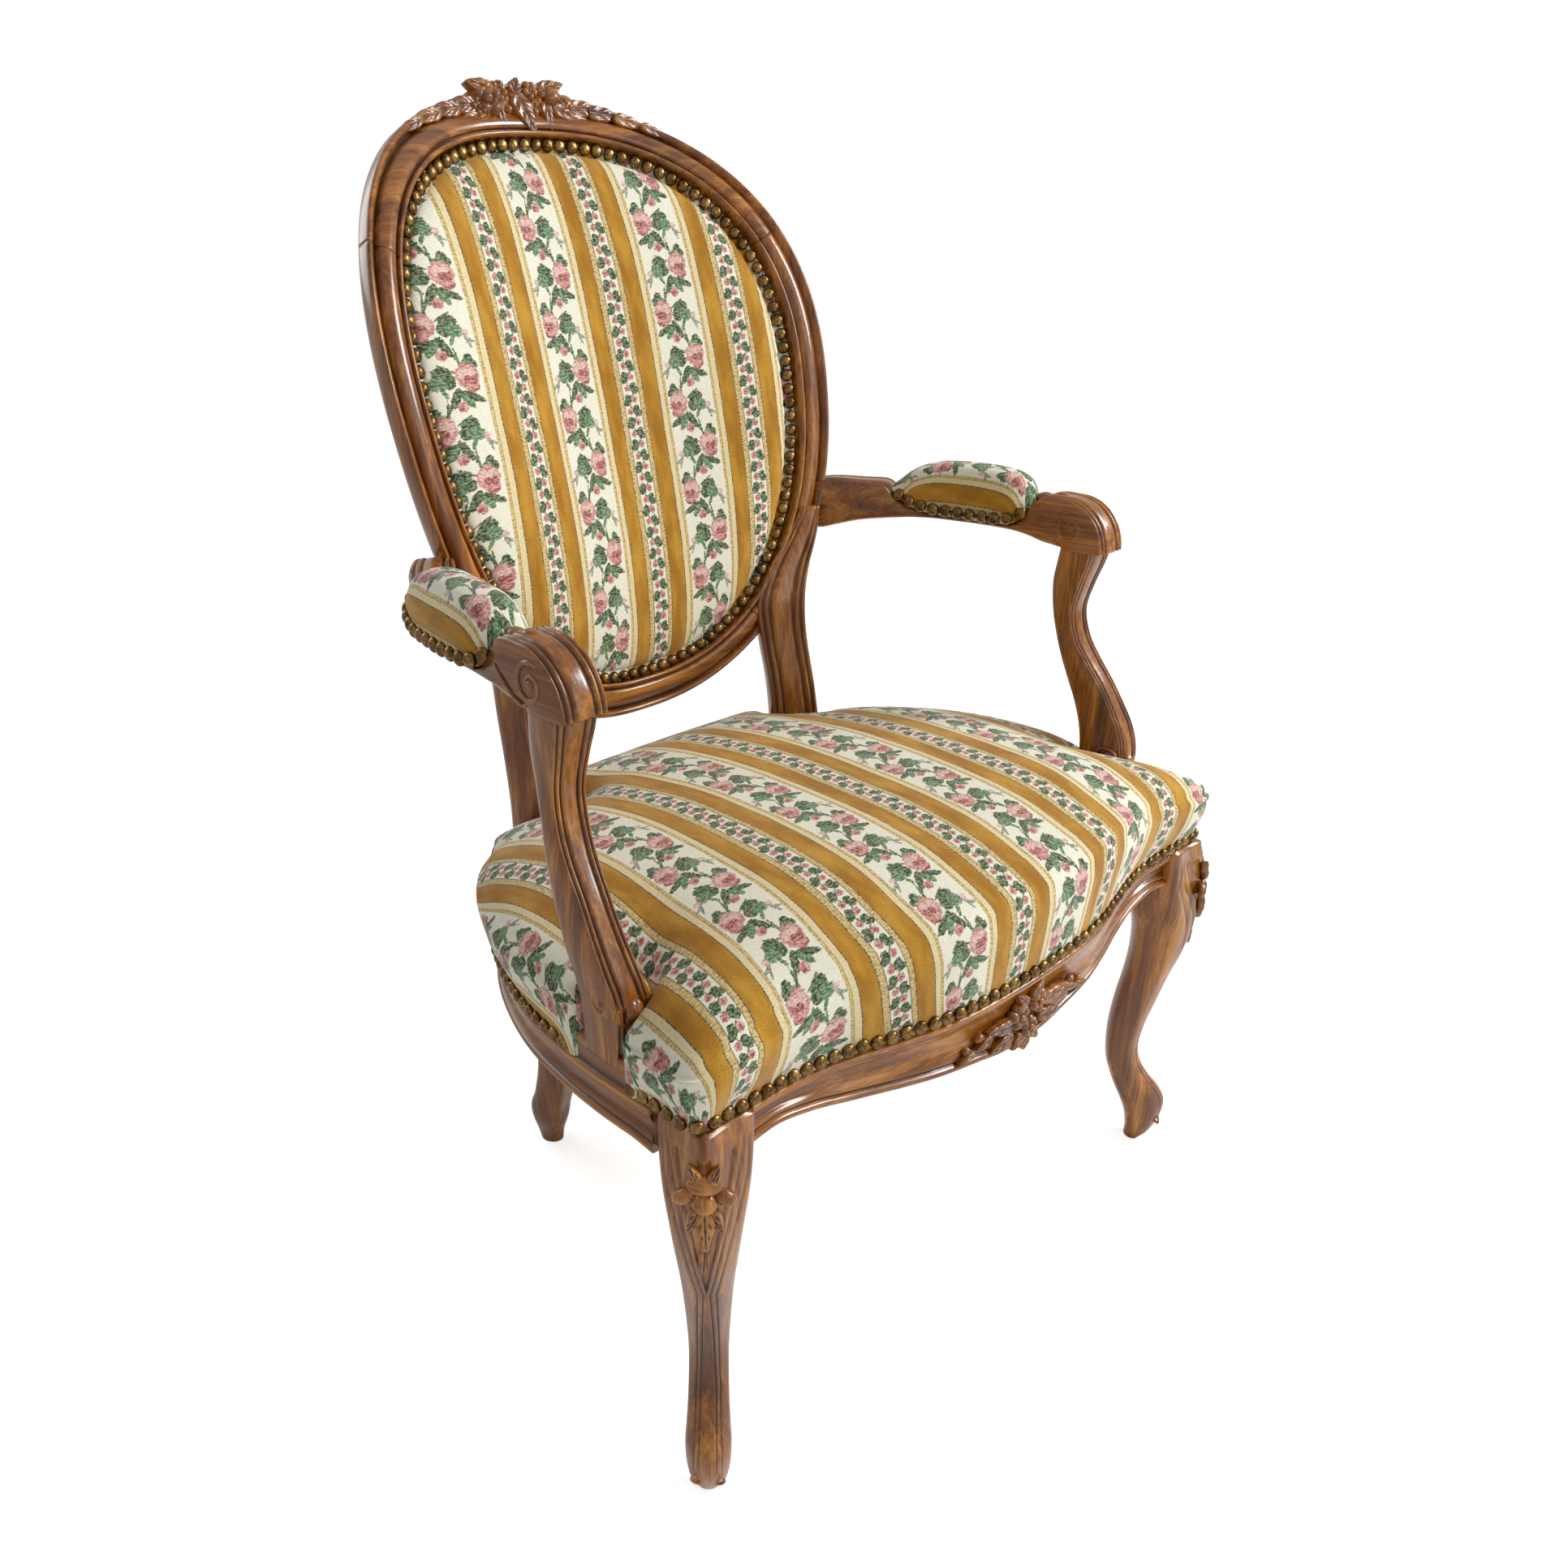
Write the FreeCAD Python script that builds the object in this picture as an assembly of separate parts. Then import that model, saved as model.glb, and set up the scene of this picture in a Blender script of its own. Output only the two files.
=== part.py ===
import FreeCAD, Part
import math
import os

# Medallion-back armchair with a moulded, carved frame and nailed upholstery.
# Millimetres, Z up, the front faces -Y, x grows towards the sitter's left.

# Overall plan of the frame
FRONT_HALF = 320.0          # half distance between the outer corners of the front legs
SHOW_TOP = 350.0            # nail line, upper edge of the polished rail face
RAIL_TOP = 372.0            # upper face of the seat rails, under the webbing
RAIL_THICK = 30.0
REBATE = 3.0                # step that takes the edge of the seat cover
LEG_BLOCK = 46.0
SIDE_RAIL_LOW = 312.0

# Oval back, leaning and bent forward at its sides
OVAL_Y = 498.6
OVAL_Z = 714.7
OVAL_LEAN = 0.281
OVAL_HALF_HEIGHT = 267.4
OVAL_HALF_WIDTH = 238.5
OVAL_EGG = 0.077
OVAL_POWER_TOP = 0.90
OVAL_POWER_LOW = 0.849
OVAL_BEND = 74.0
OVAL_BEND_AT = 220.0
OVAL_BEND_POWER = 1.95
FRAME_WIDE = 32.0           # polished moulding, from the outer edge to the nails
FRAME_REBATE = 13.0         # hidden step behind the upholstery
FRAME_BACK = 22.0
FRAME_CREST = 14.0
REBATE_LEVEL = 3.0
CREST_ANGLE = 61.0          # crest rail ends here, on both sides of the top
LOWER_ANGLE = 143.0         # bottom rail starts here

# Upholstery
CLOTH = 1.2
CLEAR = 0.3
SEAT_CROWN = 458.0
WEB_THICK = 1.5
WEB_WIDE = 60.0
NAIL_HEAD = 9.6
NAIL_HIGH = 3.4
NAIL_PITCH = 12.4
NAIL_SIDES = 5

TENON_THICK = 12.0
TENON_LONG = 28.0


def vec(x, y, z):
    return FreeCAD.Vector(x, y, z)


def ring(points):
    return Part.makePolygon(points + [points[0]])


def closed(faces):
    shell = Part.makeShell([Part.Face(ring(points)) for points in faces])
    shell.sewShape()
    solid = Part.makeSolid(shell)
    if solid.Volume < 0:
        solid.reverse()
    return solid


def loft(sections):
    # solid between flat rings of the same number of corners, its sides in flat triangles
    faces = [sections[0], sections[-1]]
    count = len(sections[0])
    for low, high in zip(sections, sections[1:]):
        for i in range(count):
            j = (i + 1) % count
            faces.append([low[i], low[j], high[j]])
            faces.append([low[i], high[j], high[i]])
    return closed(faces)


def rod(radius, start, end, sides=10):
    # faceted round rod along x
    circle = [(radius * math.cos(2 * math.pi * i / sides), radius * math.sin(2 * math.pi * i / sides))
              for i in range(sides)]
    return loft([[vec(p.x, p.y + a, p.z + b) for a, b in circle] for p in (start, end)])


def box(x0, x1, y0, y1, z0, z1):
    return Part.makeBox(x1 - x0, y1 - y0, z1 - z0, vec(x0, y0, z0))


def smooth(table, value):
    # cubic reading of a list of (place, amount, amount, ...) rows
    rows = table
    if value <= rows[0][0]:
        return list(rows[0][1:])
    if value >= rows[-1][0]:
        return list(rows[-1][1:])
    index = max(i for i in range(len(rows) - 1) if rows[i][0] <= value)
    result = []
    for column in range(1, len(rows[0])):
        def slope(i):
            a = rows[max(i - 1, 0)]
            b = rows[min(i + 1, len(rows) - 1)]
            return (b[column] - a[column]) / (b[0] - a[0])
        p0, p1 = rows[index], rows[index + 1]
        width = p1[0] - p0[0]
        t = (value - p0[0]) / width
        h00 = 2 * t ** 3 - 3 * t ** 2 + 1
        h10 = t ** 3 - 2 * t ** 2 + t
        h01 = 3 * t ** 2 - 2 * t ** 3
        h11 = t ** 3 - t ** 2
        result.append(h00 * p0[column] + h10 * width * slope(index)
                      + h01 * p1[column] + h11 * width * slope(index + 1))
    return result


def mirrored(shape):
    return shape.mirror(vec(0, 0, 0), vec(1, 0, 0))


def oval_flat(angle):
    s, c = math.sin(angle), math.cos(angle)
    power = OVAL_POWER_TOP if c > 0 else OVAL_POWER_LOW
    across = math.copysign(abs(s) ** power, s)
    up = math.copysign(abs(c) ** power, c)
    return OVAL_HALF_WIDTH * across * (1 + OVAL_EGG * up), OVAL_HALF_HEIGHT * up


def oval_lift(x, up, forward):
    # place of a point of the leaning, bent surface of the back
    depth = -OVAL_BEND * abs(x / OVAL_BEND_AT) ** OVAL_BEND_POWER - forward
    y = OVAL_Y + up * math.sin(OVAL_LEAN) + depth * math.cos(OVAL_LEAN)
    z = OVAL_Z + up * math.cos(OVAL_LEAN) - depth * math.sin(OVAL_LEAN)
    return vec(x, y, z)


def oval_inset(degrees, inward):
    # flat place of the outline drawn in by a distance
    angle = math.radians(degrees)
    x, up = oval_flat(angle)
    xa, ua = oval_flat(angle - 0.03)
    xb, ub = oval_flat(angle + 0.03)
    run = math.hypot(xb - xa, ub - ua)
    return x + (ub - ua) / run * inward, up - (xb - xa) / run * inward


def oval_point(degrees, inward, forward):
    x, up = oval_inset(degrees, inward)
    return oval_lift(x, up, forward)


# Profile of the back moulding: outer bead, deep groove, broad torus, groove, inner bead, rebate
FRAME_PROFILE = [
    (0.0, -FRAME_BACK + 4), (0.0, -3.0), (3.0, 2.5), (8.5, -1.5), (11.0, 3.0), (16.5, 9.5),
    (22.0, FRAME_CREST - 1.5), (26.5, 10.5), (29.0, FRAME_CREST), (FRAME_WIDE, FRAME_CREST),
    (FRAME_WIDE, REBATE_LEVEL), (FRAME_WIDE + FRAME_REBATE, REBATE_LEVEL),
    (FRAME_WIDE + FRAME_REBATE, -FRAME_BACK), (4.0, -FRAME_BACK)]


def frame_section(degrees, profile):
    # flat section square to the outline, straight from the outer edge to the hidden step
    outer = oval_point(degrees, 0.0, 0.0)
    reach = FRAME_WIDE + FRAME_REBATE / 2
    inward = (oval_point(degrees, reach, 0.0) - outer) / reach
    facing = vec(0, -math.cos(OVAL_LEAN), math.sin(OVAL_LEAN))
    return [outer + inward * u + facing * n for u, n in profile]


def frame_arc(start, end, steps):
    return loft([frame_section(start + (end - start) * i / steps, FRAME_PROFILE)
                 for i in range(steps + 1)])


def frame_tenon(degrees, reach):
    # tenon across a joint of the back frame
    profile = [(14, -14), (14, -2), (36, -2), (36, -14)]
    return loft([frame_section(degrees, profile), frame_section(degrees + reach, profile)])


# Petals and leaves of the carving, as small faceted solids
def blossom(centre, radius, height, normal, petals=5, turn=0.0):
    n = FreeCAD.Vector(normal).normalize()
    side = n.cross(vec(0, 0, 1)) if abs(n.z) < 0.9 else n.cross(vec(0, 1, 0))
    side.normalize()
    up = side.cross(n)
    outer = []
    inner = []
    for i in range(petals * 2):
        a = math.pi * i / petals + turn
        reach = radius if i % 2 == 0 else radius * 0.68
        spoke = side * math.cos(a) + up * math.sin(a)
        outer.append(centre + spoke * reach)
        inner.append(centre + spoke * reach * 0.62 + n * height)
    low = [p - n * height for p in outer]
    return loft([low, outer, inner])


def leaf(root, tip, wide, height, normal):
    n = FreeCAD.Vector(normal).normalize()
    along = tip - root
    across = along.cross(n).normalize() * (wide / 2)
    middle = root + along * 0.45
    base = [root, middle + across, tip, middle - across]
    ridge = root + along * 0.4 + n * height
    low = [p - n * height for p in base]
    faces = [low]
    for i in range(4):
        j = (i + 1) % 4
        faces += [[low[i], low[j], base[j]], [low[i], base[j], base[i]], [base[i], base[j], ridge]]
    return closed(faces)


def largest(shape):
    return max(shape.Solids, key=lambda solid: solid.Volume)


def fused(first, others):
    return largest(first.fuse(others).removeSplitter())


# Cabriole leg: height, outer and inner edge along the diagonal, half width across it, squareness
LEG_CURVE = [
    (0.0, -3.0, -17.0, 9.5, 0.0), (10.0, 6.5, -17.0, 13.5, 0.0), (30.0, 13.5, -21.0, 17.0, 0.0),
    (50.0, 14.0, -29.0, 18.0, 0.0), (64.0, 7.0, -36.0, 17.0, 0.0), (80.0, -6.0, -43.0, 16.0, 0.0),
    (100.0, -18.0, -50.0, 15.5, 0.0), (120.0, -22.5, -53.0, 15.5, 0.0),
    (145.0, -20.5, -54.0, 16.5, 0.0), (175.0, -14.0, -52.0, 18.0, 0.0),
    (205.0, -7.0, -48.0, 20.0, 0.0), (235.0, 1.0, -46.0, 23.0, 0.0), (265.0, 6.0, -49.0, 26.5, 0.1),
    (290.0, 7.5, -58.0, 30.0, 0.3), (312.0, 7.0, -66.5, 32.0, 0.6), (332.0, 4.0, -66.5, 32.5, 0.85),
    (350.0, -1.4, -66.5, 32.5, 1.0)]


def leg_ring(z, outer, inner, half, square):
    # ten-sided section with a flat towards the corner of the seat, growing into the square block
    deep = outer - inner
    across = [0.30 - 0.26 * square, 0.78 - 0.34 * square, 1.0, 0.86 - 0.42 * square,
              0.40 - 0.36 * square]
    along = [outer, outer - 0.22 * deep, outer - (0.45 + 0.05 * square) * deep,
             inner + 0.22 * deep, inner]
    lateral = [(d, w * half) for d, w in zip(along, across)]
    outline = lateral + [(d, -w) for d, w in reversed(lateral)]
    k = math.sqrt(0.5)
    return [vec(FRONT_HALF + (d - w) * k, -(d + w) * k, z) for d, w in outline]


def front_leg():
    heights = [0, 10, 30, 50, 64, 82, 102, 125, 160, 205, 235, 265, 290, 315, 350]
    shape = loft([leg_ring(z, *smooth(LEG_CURVE, z)) for z in heights])
    corner = FRONT_HALF + 3.0
    front = 5.0
    block = loft([[vec(corner - LEG_BLOCK, front + REBATE, z), vec(corner - REBATE - 6, front + REBATE, z),
                   vec(corner - REBATE, front + REBATE + 6, z), vec(corner - REBATE, front + LEG_BLOCK, z),
                   vec(corner - LEG_BLOCK, front + LEG_BLOCK, z)] for z in (318, RAIL_TOP)])
    return fused(shape, [block])


# Front rail: half of the plan line of its face, and its lower edge
FRONT_LINE = [(0.0, -30.0), (60.0, -28.0), (100.0, -23.5), (135.0, -15.0), (170.0, -5.0),
              (205.0, 3.0), (240.0, 6.0), (277.0, 6.0)]
FRONT_LOW = [(0.0, 290.0), (28.0, 291.0), (60.0, 296.5), (100.0, 301.0), (140.0, 304.5),
             (180.0, 308.5), (215.0, 314.0), (245.0, 318.0), (277.0, 315.0)]
FRONT_STATIONS = (0.0, 40.0, 80.0, 115.0, 150.0, 190.0, 240.0)


def rail_ring(x, y, low, out_x, out_y, thick):
    # rail section: lower bead, cove, upper bead, rebate for the cloth; out is the outward direction
    profile = [(3.0, low), (0.5, low + 3), (-1.5, low + 9), (2.0, low + 12), (4.0, low + 18),
               (1.5, SHOW_TOP - 10), (-1.0, SHOW_TOP - 7), (-1.0, SHOW_TOP), (REBATE - 1, SHOW_TOP),
               (REBATE - 1, RAIL_TOP), (thick, RAIL_TOP), (thick, low)]
    return [vec(x - out_x * d, y - out_y * d, z) for d, z in profile]


def front_rail():
    reach = FRONT_HALF + 3.0 - LEG_BLOCK
    half = list(FRONT_STATIONS) + [reach]
    stations = [-x for x in reversed(half[1:])] + half
    sections = []
    for x in stations:
        y = smooth(FRONT_LINE, abs(x))[0]
        low = smooth(FRONT_LOW, abs(x))[0]
        sections.append(rail_ring(x, y, low, 0.0, -1.0, RAIL_THICK))
    shape = loft(sections)
    tenons = []
    for side in (-1, 1):
        a = side * (reach - 1)
        b = side * (reach + TENON_LONG)
        tenons.append(box(min(a, b), max(a, b), 18, 18 + TENON_THICK, 318, 360))
    carving = []
    facing = vec(0, -1, 0.1)
    for x, z, size in ((-14, 318, 13), (13, 326, 12), (3, 306, 11)):
        carving.append(blossom(vec(x, -32.5, z), size, 5.0, facing, 5, 0.3))
    for x0, z0, x1, z1 in ((-24, 312, -58, 318), (24, 318, 60, 312), (-20, 304, -46, 298),
                           (20, 305, 44, 299), (0, 300, 6, 284)):
        y0 = smooth(FRONT_LINE, abs(x0))[0] - 1.0
        y1 = smooth(FRONT_LINE, abs(x1))[0] - 1.0
        carving.append(leaf(vec(x0, y0, z0), vec(x1, y1, z1), 14, 4.0, facing))
    return fused(shape, tenons + carving)


# Side rail: plan line of its outer face, from the leg to the rear upright
SIDE_LINE = [(50.0, 322.0), (80.0, 323.5), (110.0, 324.0), (150.0, 322.0), (200.0, 315.0),
             (250.0, 300.0), (300.0, 277.0), (345.0, 246.0), (391.0, 209.0)]
SIDE_END = 391.0
SUPPORT_FRONT = 77.5        # opening of the seat cover round the arm support
SUPPORT_REAR = 130.0
SUPPORT_INNER = 289.5
SIDE_STATIONS = (50.0, SUPPORT_FRONT, SUPPORT_REAR, 160.0, 195.0, 230.0, 265.0, 300.0, 335.0,
                 366.0, SIDE_END)


def side_normal(y):
    run = smooth(SIDE_LINE, min(y + 2, SIDE_END))[0] - smooth(SIDE_LINE, max(y - 2, 50.0))[0]
    span = min(y + 2, SIDE_END) - max(y - 2, 50.0)
    length = math.hypot(run, span)
    return span / length, -run / length


def tongue(start, end, high):
    # tenon between two places in plan
    across = vec(-(end - start).y, (end - start).x, 0).normalize() * (TENON_THICK / 2)
    base = [start + across, end + across, end - across, start - across]
    return Part.Face(ring(base)).extrude(vec(0, 0, high))


def side_rail():
    sections = []
    for y in SIDE_STATIONS:
        x = smooth(SIDE_LINE, y)[0]
        out_x, out_y = side_normal(y)
        if y == 50:
            out_x, out_y = 1.0, 0.0
        low = SIDE_RAIL_LOW - (3.0 if y < 60 else 0.0)
        sections.append(rail_ring(x, y, low, out_x, out_y, RAIL_THICK))
    front = box(296, 296 + TENON_THICK, 31, 51, 318, 360)
    rear = tongue(vec(200, 366, 322), vec(172, 381, 322), 40)
    return loft(sections), [front, rear]


# Rear upright below the oval: height, centre x and y, half width, half depth, turn in degrees
POST_CURVE = [
    (0.0, 150.5, 432.0, 10.5, 12.5, 20.0), (14.0, 151.0, 432.0, 13.0, 15.0, 20.0),
    (34.0, 152.0, 429.0, 18.5, 19.5, 20.0), (52.0, 153.0, 426.0, 19.5, 19.5, 22.0),
    (75.0, 154.0, 417.0, 17.5, 18.0, 24.0), (120.0, 156.0, 405.0, 17.0, 17.0, 28.0),
    (200.0, 160.0, 394.0, 19.0, 17.5, 28.0), (260.0, 163.0, 388.0, 21.5, 18.0, 28.0),
    (352.0, 167.0, 382.5, 29.0, 22.0, 24.0), (412.0, 168.0, 385.0, 25.0, 18.0, 28.0),
    (455.0, 167.0, 391.0, 24.0, 17.0, 29.0), (503.0, 164.5, 401.0, 24.0, 17.0, 29.0),
    (540.0, 164.0, 405.5, 25.0, 17.0, 29.0), (570.0, 176.0, 406.0, 21.0, 14.0, 30.0),
    (600.0, 192.0, 402.0, 15.0, 11.0, 32.0), (625.0, 201.0, 399.0, 10.0, 8.0, 33.0)]


def post_ring(z, x, y, wide, deep, turn):
    # front face moulded above the seat: bead, groove, centre torus, groove, bead
    groove = 2.2 if z > 400 else 0.0
    bevel = 4.0
    outline = [(-wide, bevel - deep), (-0.88 * wide, 1.5 - deep), (-0.56 * wide, 1.5 + groove - deep),
               (-0.34 * wide, -deep), (0.34 * wide, -deep), (0.56 * wide, 1.5 + groove - deep),
               (0.88 * wide, 1.5 - deep), (wide, bevel - deep), (wide, deep - bevel),
               (wide - bevel, deep), (bevel - wide, deep), (-wide, deep - bevel)]
    c, s = math.cos(math.radians(turn)), math.sin(math.radians(turn))
    return [vec(x + a * c + b * s, y - a * s + b * c, z) for a, b in outline]


def rear_upright():
    post = loft([post_ring(*row) for row in POST_CURVE])
    arc = frame_arc(CREST_ANGLE, LOWER_ANGLE, 11)
    return fused(arc, [post])


def crest_rail():
    arc = frame_arc(-CREST_ANGLE, CREST_ANGLE, 16)
    tenons = [frame_tenon(-CREST_ANGLE + 0.5, -6.5), frame_tenon(CREST_ANGLE - 0.5, 6.5)]
    lean = vec(0, -math.cos(OVAL_LEAN), math.sin(OVAL_LEAN))
    carving = []
    for degrees, inward, size, high in ((-5, 6, 17, 9), (4, 2, 15, 10), (1, 17, 14, 8)):
        carving.append(blossom(oval_point(degrees, inward, 9), size, high, lean, 5, degrees))
    for a, ua, b, ub, wide in ((0, 18, 1, 33, 15), (-7, 8, -15, 2, 15), (7, 7, 15, 2, 15),
                               (-13, 4, -22, 1, 11), (13, 4, 22, 1, 11), (20, 3, 29, 1, 9),
                               (-20, 3, -29, 1, 9), (-3, 0, -6, -13, 15), (3, 0, 7, -12, 15)):
        root = oval_point(a, ua, 8)
        tip = oval_point(b, ub, 7)
        carving.append(leaf(root, tip, wide, 5.0, lean))
    return fused(arc, tenons + carving)


def back_bottom_rail():
    arc = frame_arc(LOWER_ANGLE, 360.0 - LOWER_ANGLE, 10)
    tenons = [frame_tenon(LOWER_ANGLE + 0.5, -8.5), frame_tenon(360.0 - LOWER_ANGLE - 0.5, 8.5)]
    return fused(arc, tenons)


def rear_rail():
    # straight rail, its tenons enter the uprights from the inside
    body = box(-156, 156, 386, 414, 318, RAIL_TOP)
    tenons = [tongue(vec(side * 140, 398, 326), vec(side * 168, 398, 326), 36) for side in (-1, 1)]
    return body, tenons


# Arm: place along its length, centre x, underside, lip under the pad, top, half width, half core
ARM_LINE = [
    (133.0, 300.5, 612.0, 626.0, 630.0, 13.5, 10.0), (137.0, 300.5, 605.0, 630.0, 636.0, 16.5, 13.0),
    (144.0, 300.5, 602.0, 633.0, 641.0, 18.0, 15.5), (156.0, 300.5, 601.0, 636.0, 644.0, 18.5, 16.5),
    (172.0, 300.0, 601.5, 638.0, 645.5, 18.5, 16.5), (188.0, 299.3, 604.0, 637.0, 645.5, 19.0, 16.5),
    (197.0, 298.7, 607.0, 634.0, 640.0, 19.5, 15.0), (206.0, 298.5, 609.0, 624.0, 634.0, 20.0, 14.0),
    (220.0, 297.5, 611.0, 617.0, 632.0, 20.5, 14.0), (250.0, 294.5, 612.5, 616.5, 632.0, 21.0, 14.0),
    (280.0, 290.5, 613.0, 617.5, 632.0, 21.0, 14.0), (305.0, 285.0, 613.5, 619.0, 632.0, 21.0, 14.0),
    (328.0, 276.5, 613.0, 624.0, 634.0, 20.5, 14.0), (342.0, 268.5, 612.0, 631.0, 638.0, 20.0, 14.5),
    (352.0, 263.0, 611.0, 639.0, 645.0, 19.5, 16.0), (375.0, 251.0, 608.0, 640.0, 646.5, 18.5, 16.5),
    (395.0, 240.0, 603.0, 641.0, 648.0, 17.5, 15.5), (408.0, 233.0, 599.0, 642.0, 649.0, 17.0, 15.0)]
ARM_FRONT = ARM_LINE[0][0]
ARM_REAR = ARM_LINE[-1][0]


def arm_heading(y):
    # outward direction across the arm
    a, b = max(y - 3, ARM_FRONT), min(y + 3, ARM_REAR)
    drift = smooth(ARM_LINE, b)[0] - smooth(ARM_LINE, a)[0]
    run = math.hypot(drift, b - a)
    return (b - a) / run, -drift / run


def arm_ring(y, x, low, lip, top, half, core):
    out_x, out_y = arm_heading(y) if y > 140 else (1.0, 0.0)
    right = [(half - 4, low), (half, low + 3), (half, lip), (core, lip + 0.5), (core, top - 3),
             (core - 4, top)]
    profile = right + [(-w, z) for w, z in reversed(right)]
    return [vec(x + out_x * w, y + out_y * w, z) for w, z in profile]


def arm():
    shape = loft([arm_ring(*row) for row in ARM_LINE])
    tenon = tongue(vec(240, 400, 610), vec(206, 404, 610), 26)
    scroll = rod(11, vec(280.5, 158, 622), vec(320.5, 158, 622))
    return shape, tenon, scroll


# Arm support: height, centre x, front y, back y, half width
SUPPORT_LINE = [
    (345.0, 307.0, 84.0, 126.0, 16.0), (372.0, 307.0, 83.0, 126.0, 16.0),
    (400.0, 308.0, 80.0, 126.0, 16.0), (420.0, 310.0, 81.0, 128.0, 15.5),
    (440.0, 312.0, 89.0, 134.0, 15.0), (460.0, 311.5, 101.0, 142.0, 14.0),
    (480.0, 309.5, 114.0, 151.0, 13.5), (500.0, 306.5, 129.0, 158.0, 14.0),
    (520.0, 303.0, 141.0, 163.0, 14.5), (545.0, 300.5, 147.0, 169.0, 14.5),
    (570.0, 300.0, 143.0, 175.0, 15.0), (598.0, 300.3, 129.0, 180.0, 15.5),
    (614.0, 300.5, 121.0, 181.0, 15.5)]


def support_ring(z, x, y0, y1, half):
    # moulded front: side beads, grooves and a centre torus
    g = 2.0
    return [vec(x - half, y0 + 7, z), vec(x - half + 1.5, y0 + 3, z), vec(x - 0.62 * half, y0 + 2 + g, z),
            vec(x - 0.42 * half, y0, z), vec(x + 0.42 * half, y0, z), vec(x + 0.62 * half, y0 + 2 + g, z),
            vec(x + half - 1.5, y0 + 3, z), vec(x + half, y0 + 7, z), vec(x + half, y1 - 3, z),
            vec(x + half - 3, y1, z), vec(x - half + 3, y1, z), vec(x - half, y1 - 3, z)]


def arm_support():
    heights = [RAIL_TOP, 402, 420, 440, 460, 480, 500, 520, 545, 575, 604]
    shape = loft([support_ring(z, *smooth(SUPPORT_LINE, z)) for z in heights])
    volute = rod(11, vec(292.5, 93, 411), vec(325.5, 93, 411))
    lower = box(297, 297 + TENON_THICK, 92, 118, 340, RAIL_TOP + 3)
    upper = box(294, 294 + TENON_THICK, 136, 166, 598, 620)
    return shape, volute, lower, upper


# Seat outline, from the front centre round to the rear rail: place, swell and height of the edge
def front_edge():
    slack = REBATE - 1.0 - CLEAR - CLOTH
    swells = (2, 2, 2, 3, 4, 6, 8)
    heights = (432, 432, 432, 432, 431, 429, 422)
    return [(x, smooth(FRONT_LINE, x)[0] + slack, swell, high)
            for x, swell, high in zip(FRONT_STATIONS, swells, heights)]


def side_edge():
    slack = REBATE - 1.0 - CLEAR - CLOTH
    places = SIDE_STATIONS[SIDE_STATIONS.index(SUPPORT_REAR) + 1:-1]
    swells = (7, 10, 12, 12, 12, 10, 3)
    heights = (415, 419, 420, 420, 419, 417, 411)
    return [(smooth(SIDE_LINE, y)[0] - slack, y, swell, high)
            for y, swell, high in zip(places, swells, heights)]


def seat_edge():
    corner = FRONT_HALF + CLEAR + CLOTH
    front = 8.0 - CLEAR - CLOTH
    outer = [smooth(SIDE_LINE, y)[0] - (REBATE - 1.0 - CLEAR - CLOTH) for y in (SUPPORT_FRONT, SUPPORT_REAR)]
    rows = front_edge()
    rows += [(280.0, front, 10, 418), (corner - 7.0, front, 8, 411), (corner, front + 7.0, 8, 409),
             (corner, 45.0, 8, 406)]
    rows += [(outer[0], SUPPORT_FRONT, 0, 404), (SUPPORT_INNER, SUPPORT_FRONT, 0, 410),
             (SUPPORT_INNER, SUPPORT_REAR, 0, 412), (outer[1], SUPPORT_REAR, 0, 408)]
    rows += side_edge()
    rows += [(212.5, 386.3, 0, 408), (185.2, 348.8, 0, 412), (129.9, 373.6, 0, 422),
             (149.0, REAR_EDGE, 0, 424), (75.0, REAR_EDGE, 2, 429)]
    mirror = [(-x, y, swell, high) for x, y, swell, high in reversed(rows[1:])]
    return rows + [(0.0, REAR_EDGE, 2, 430)] + mirror


REAR_EDGE = 415.7
SEAT_CENTRE = 205.0


def drawn_in(points, distances):
    # outline moved inwards by a distance at each corner, with mitred corners
    result = []
    count = len(points)
    for i, (x, y) in enumerate(points):
        xa, ya = points[i - 1]
        xb, yb = points[(i + 1) % count]
        la, lb = math.hypot(x - xa, y - ya), math.hypot(xb - x, yb - y)
        na = (-(y - ya) / la, (x - xa) / la)
        nb = (-(yb - y) / lb, (xb - x) / lb)
        scale = distances[i] / (1 + na[0] * nb[0] + na[1] * nb[1])
        result.append((x + (na[0] + nb[0]) * scale, y + (na[1] + nb[1]) * scale))
    return result


def seat_dome(inset, floor):
    # stacked rings from the nail line up to the crown
    rows = seat_edge()
    flat = [(x, y) for x, y, swell, high in rows]

    def toward(points, share):
        return [(x * (1 - share), y + (SEAT_CENTRE - y) * share) for x, y in points]

    foot = drawn_in(flat, [inset] * len(rows))
    belly = drawn_in(flat, [inset - swell for x, y, swell, high in rows])
    brow = drawn_in(flat, [inset + 5 - swell * 0.3 for x, y, swell, high in rows])

    def rise(share):
        return [row[3] + (SEAT_CROWN - row[3]) * share - inset for row in rows]

    rings = [[vec(x, y, floor) for x, y in foot],
             [vec(x, y, max(floor + 2, SHOW_TOP + NAIL_HEAD + 2.5)) for x, y in foot],
             [vec(x, y, row[3] * 0.5 + 190 - inset * 0.5) for (x, y), row in zip(belly, rows)],
             [vec(x, y, row[3] - 5 - inset) for (x, y), row in zip(brow, rows)],
             [vec(x, y, z) for (x, y), z in zip(toward(brow, 0.13), rise(0.4))],
             [vec(x, y, z) for (x, y), z in zip(toward(brow, 0.34), rise(0.84))],
             [vec(x, y, SEAT_CROWN - inset) for x, y in toward(brow, 0.66)]]
    return loft(rings)


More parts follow.
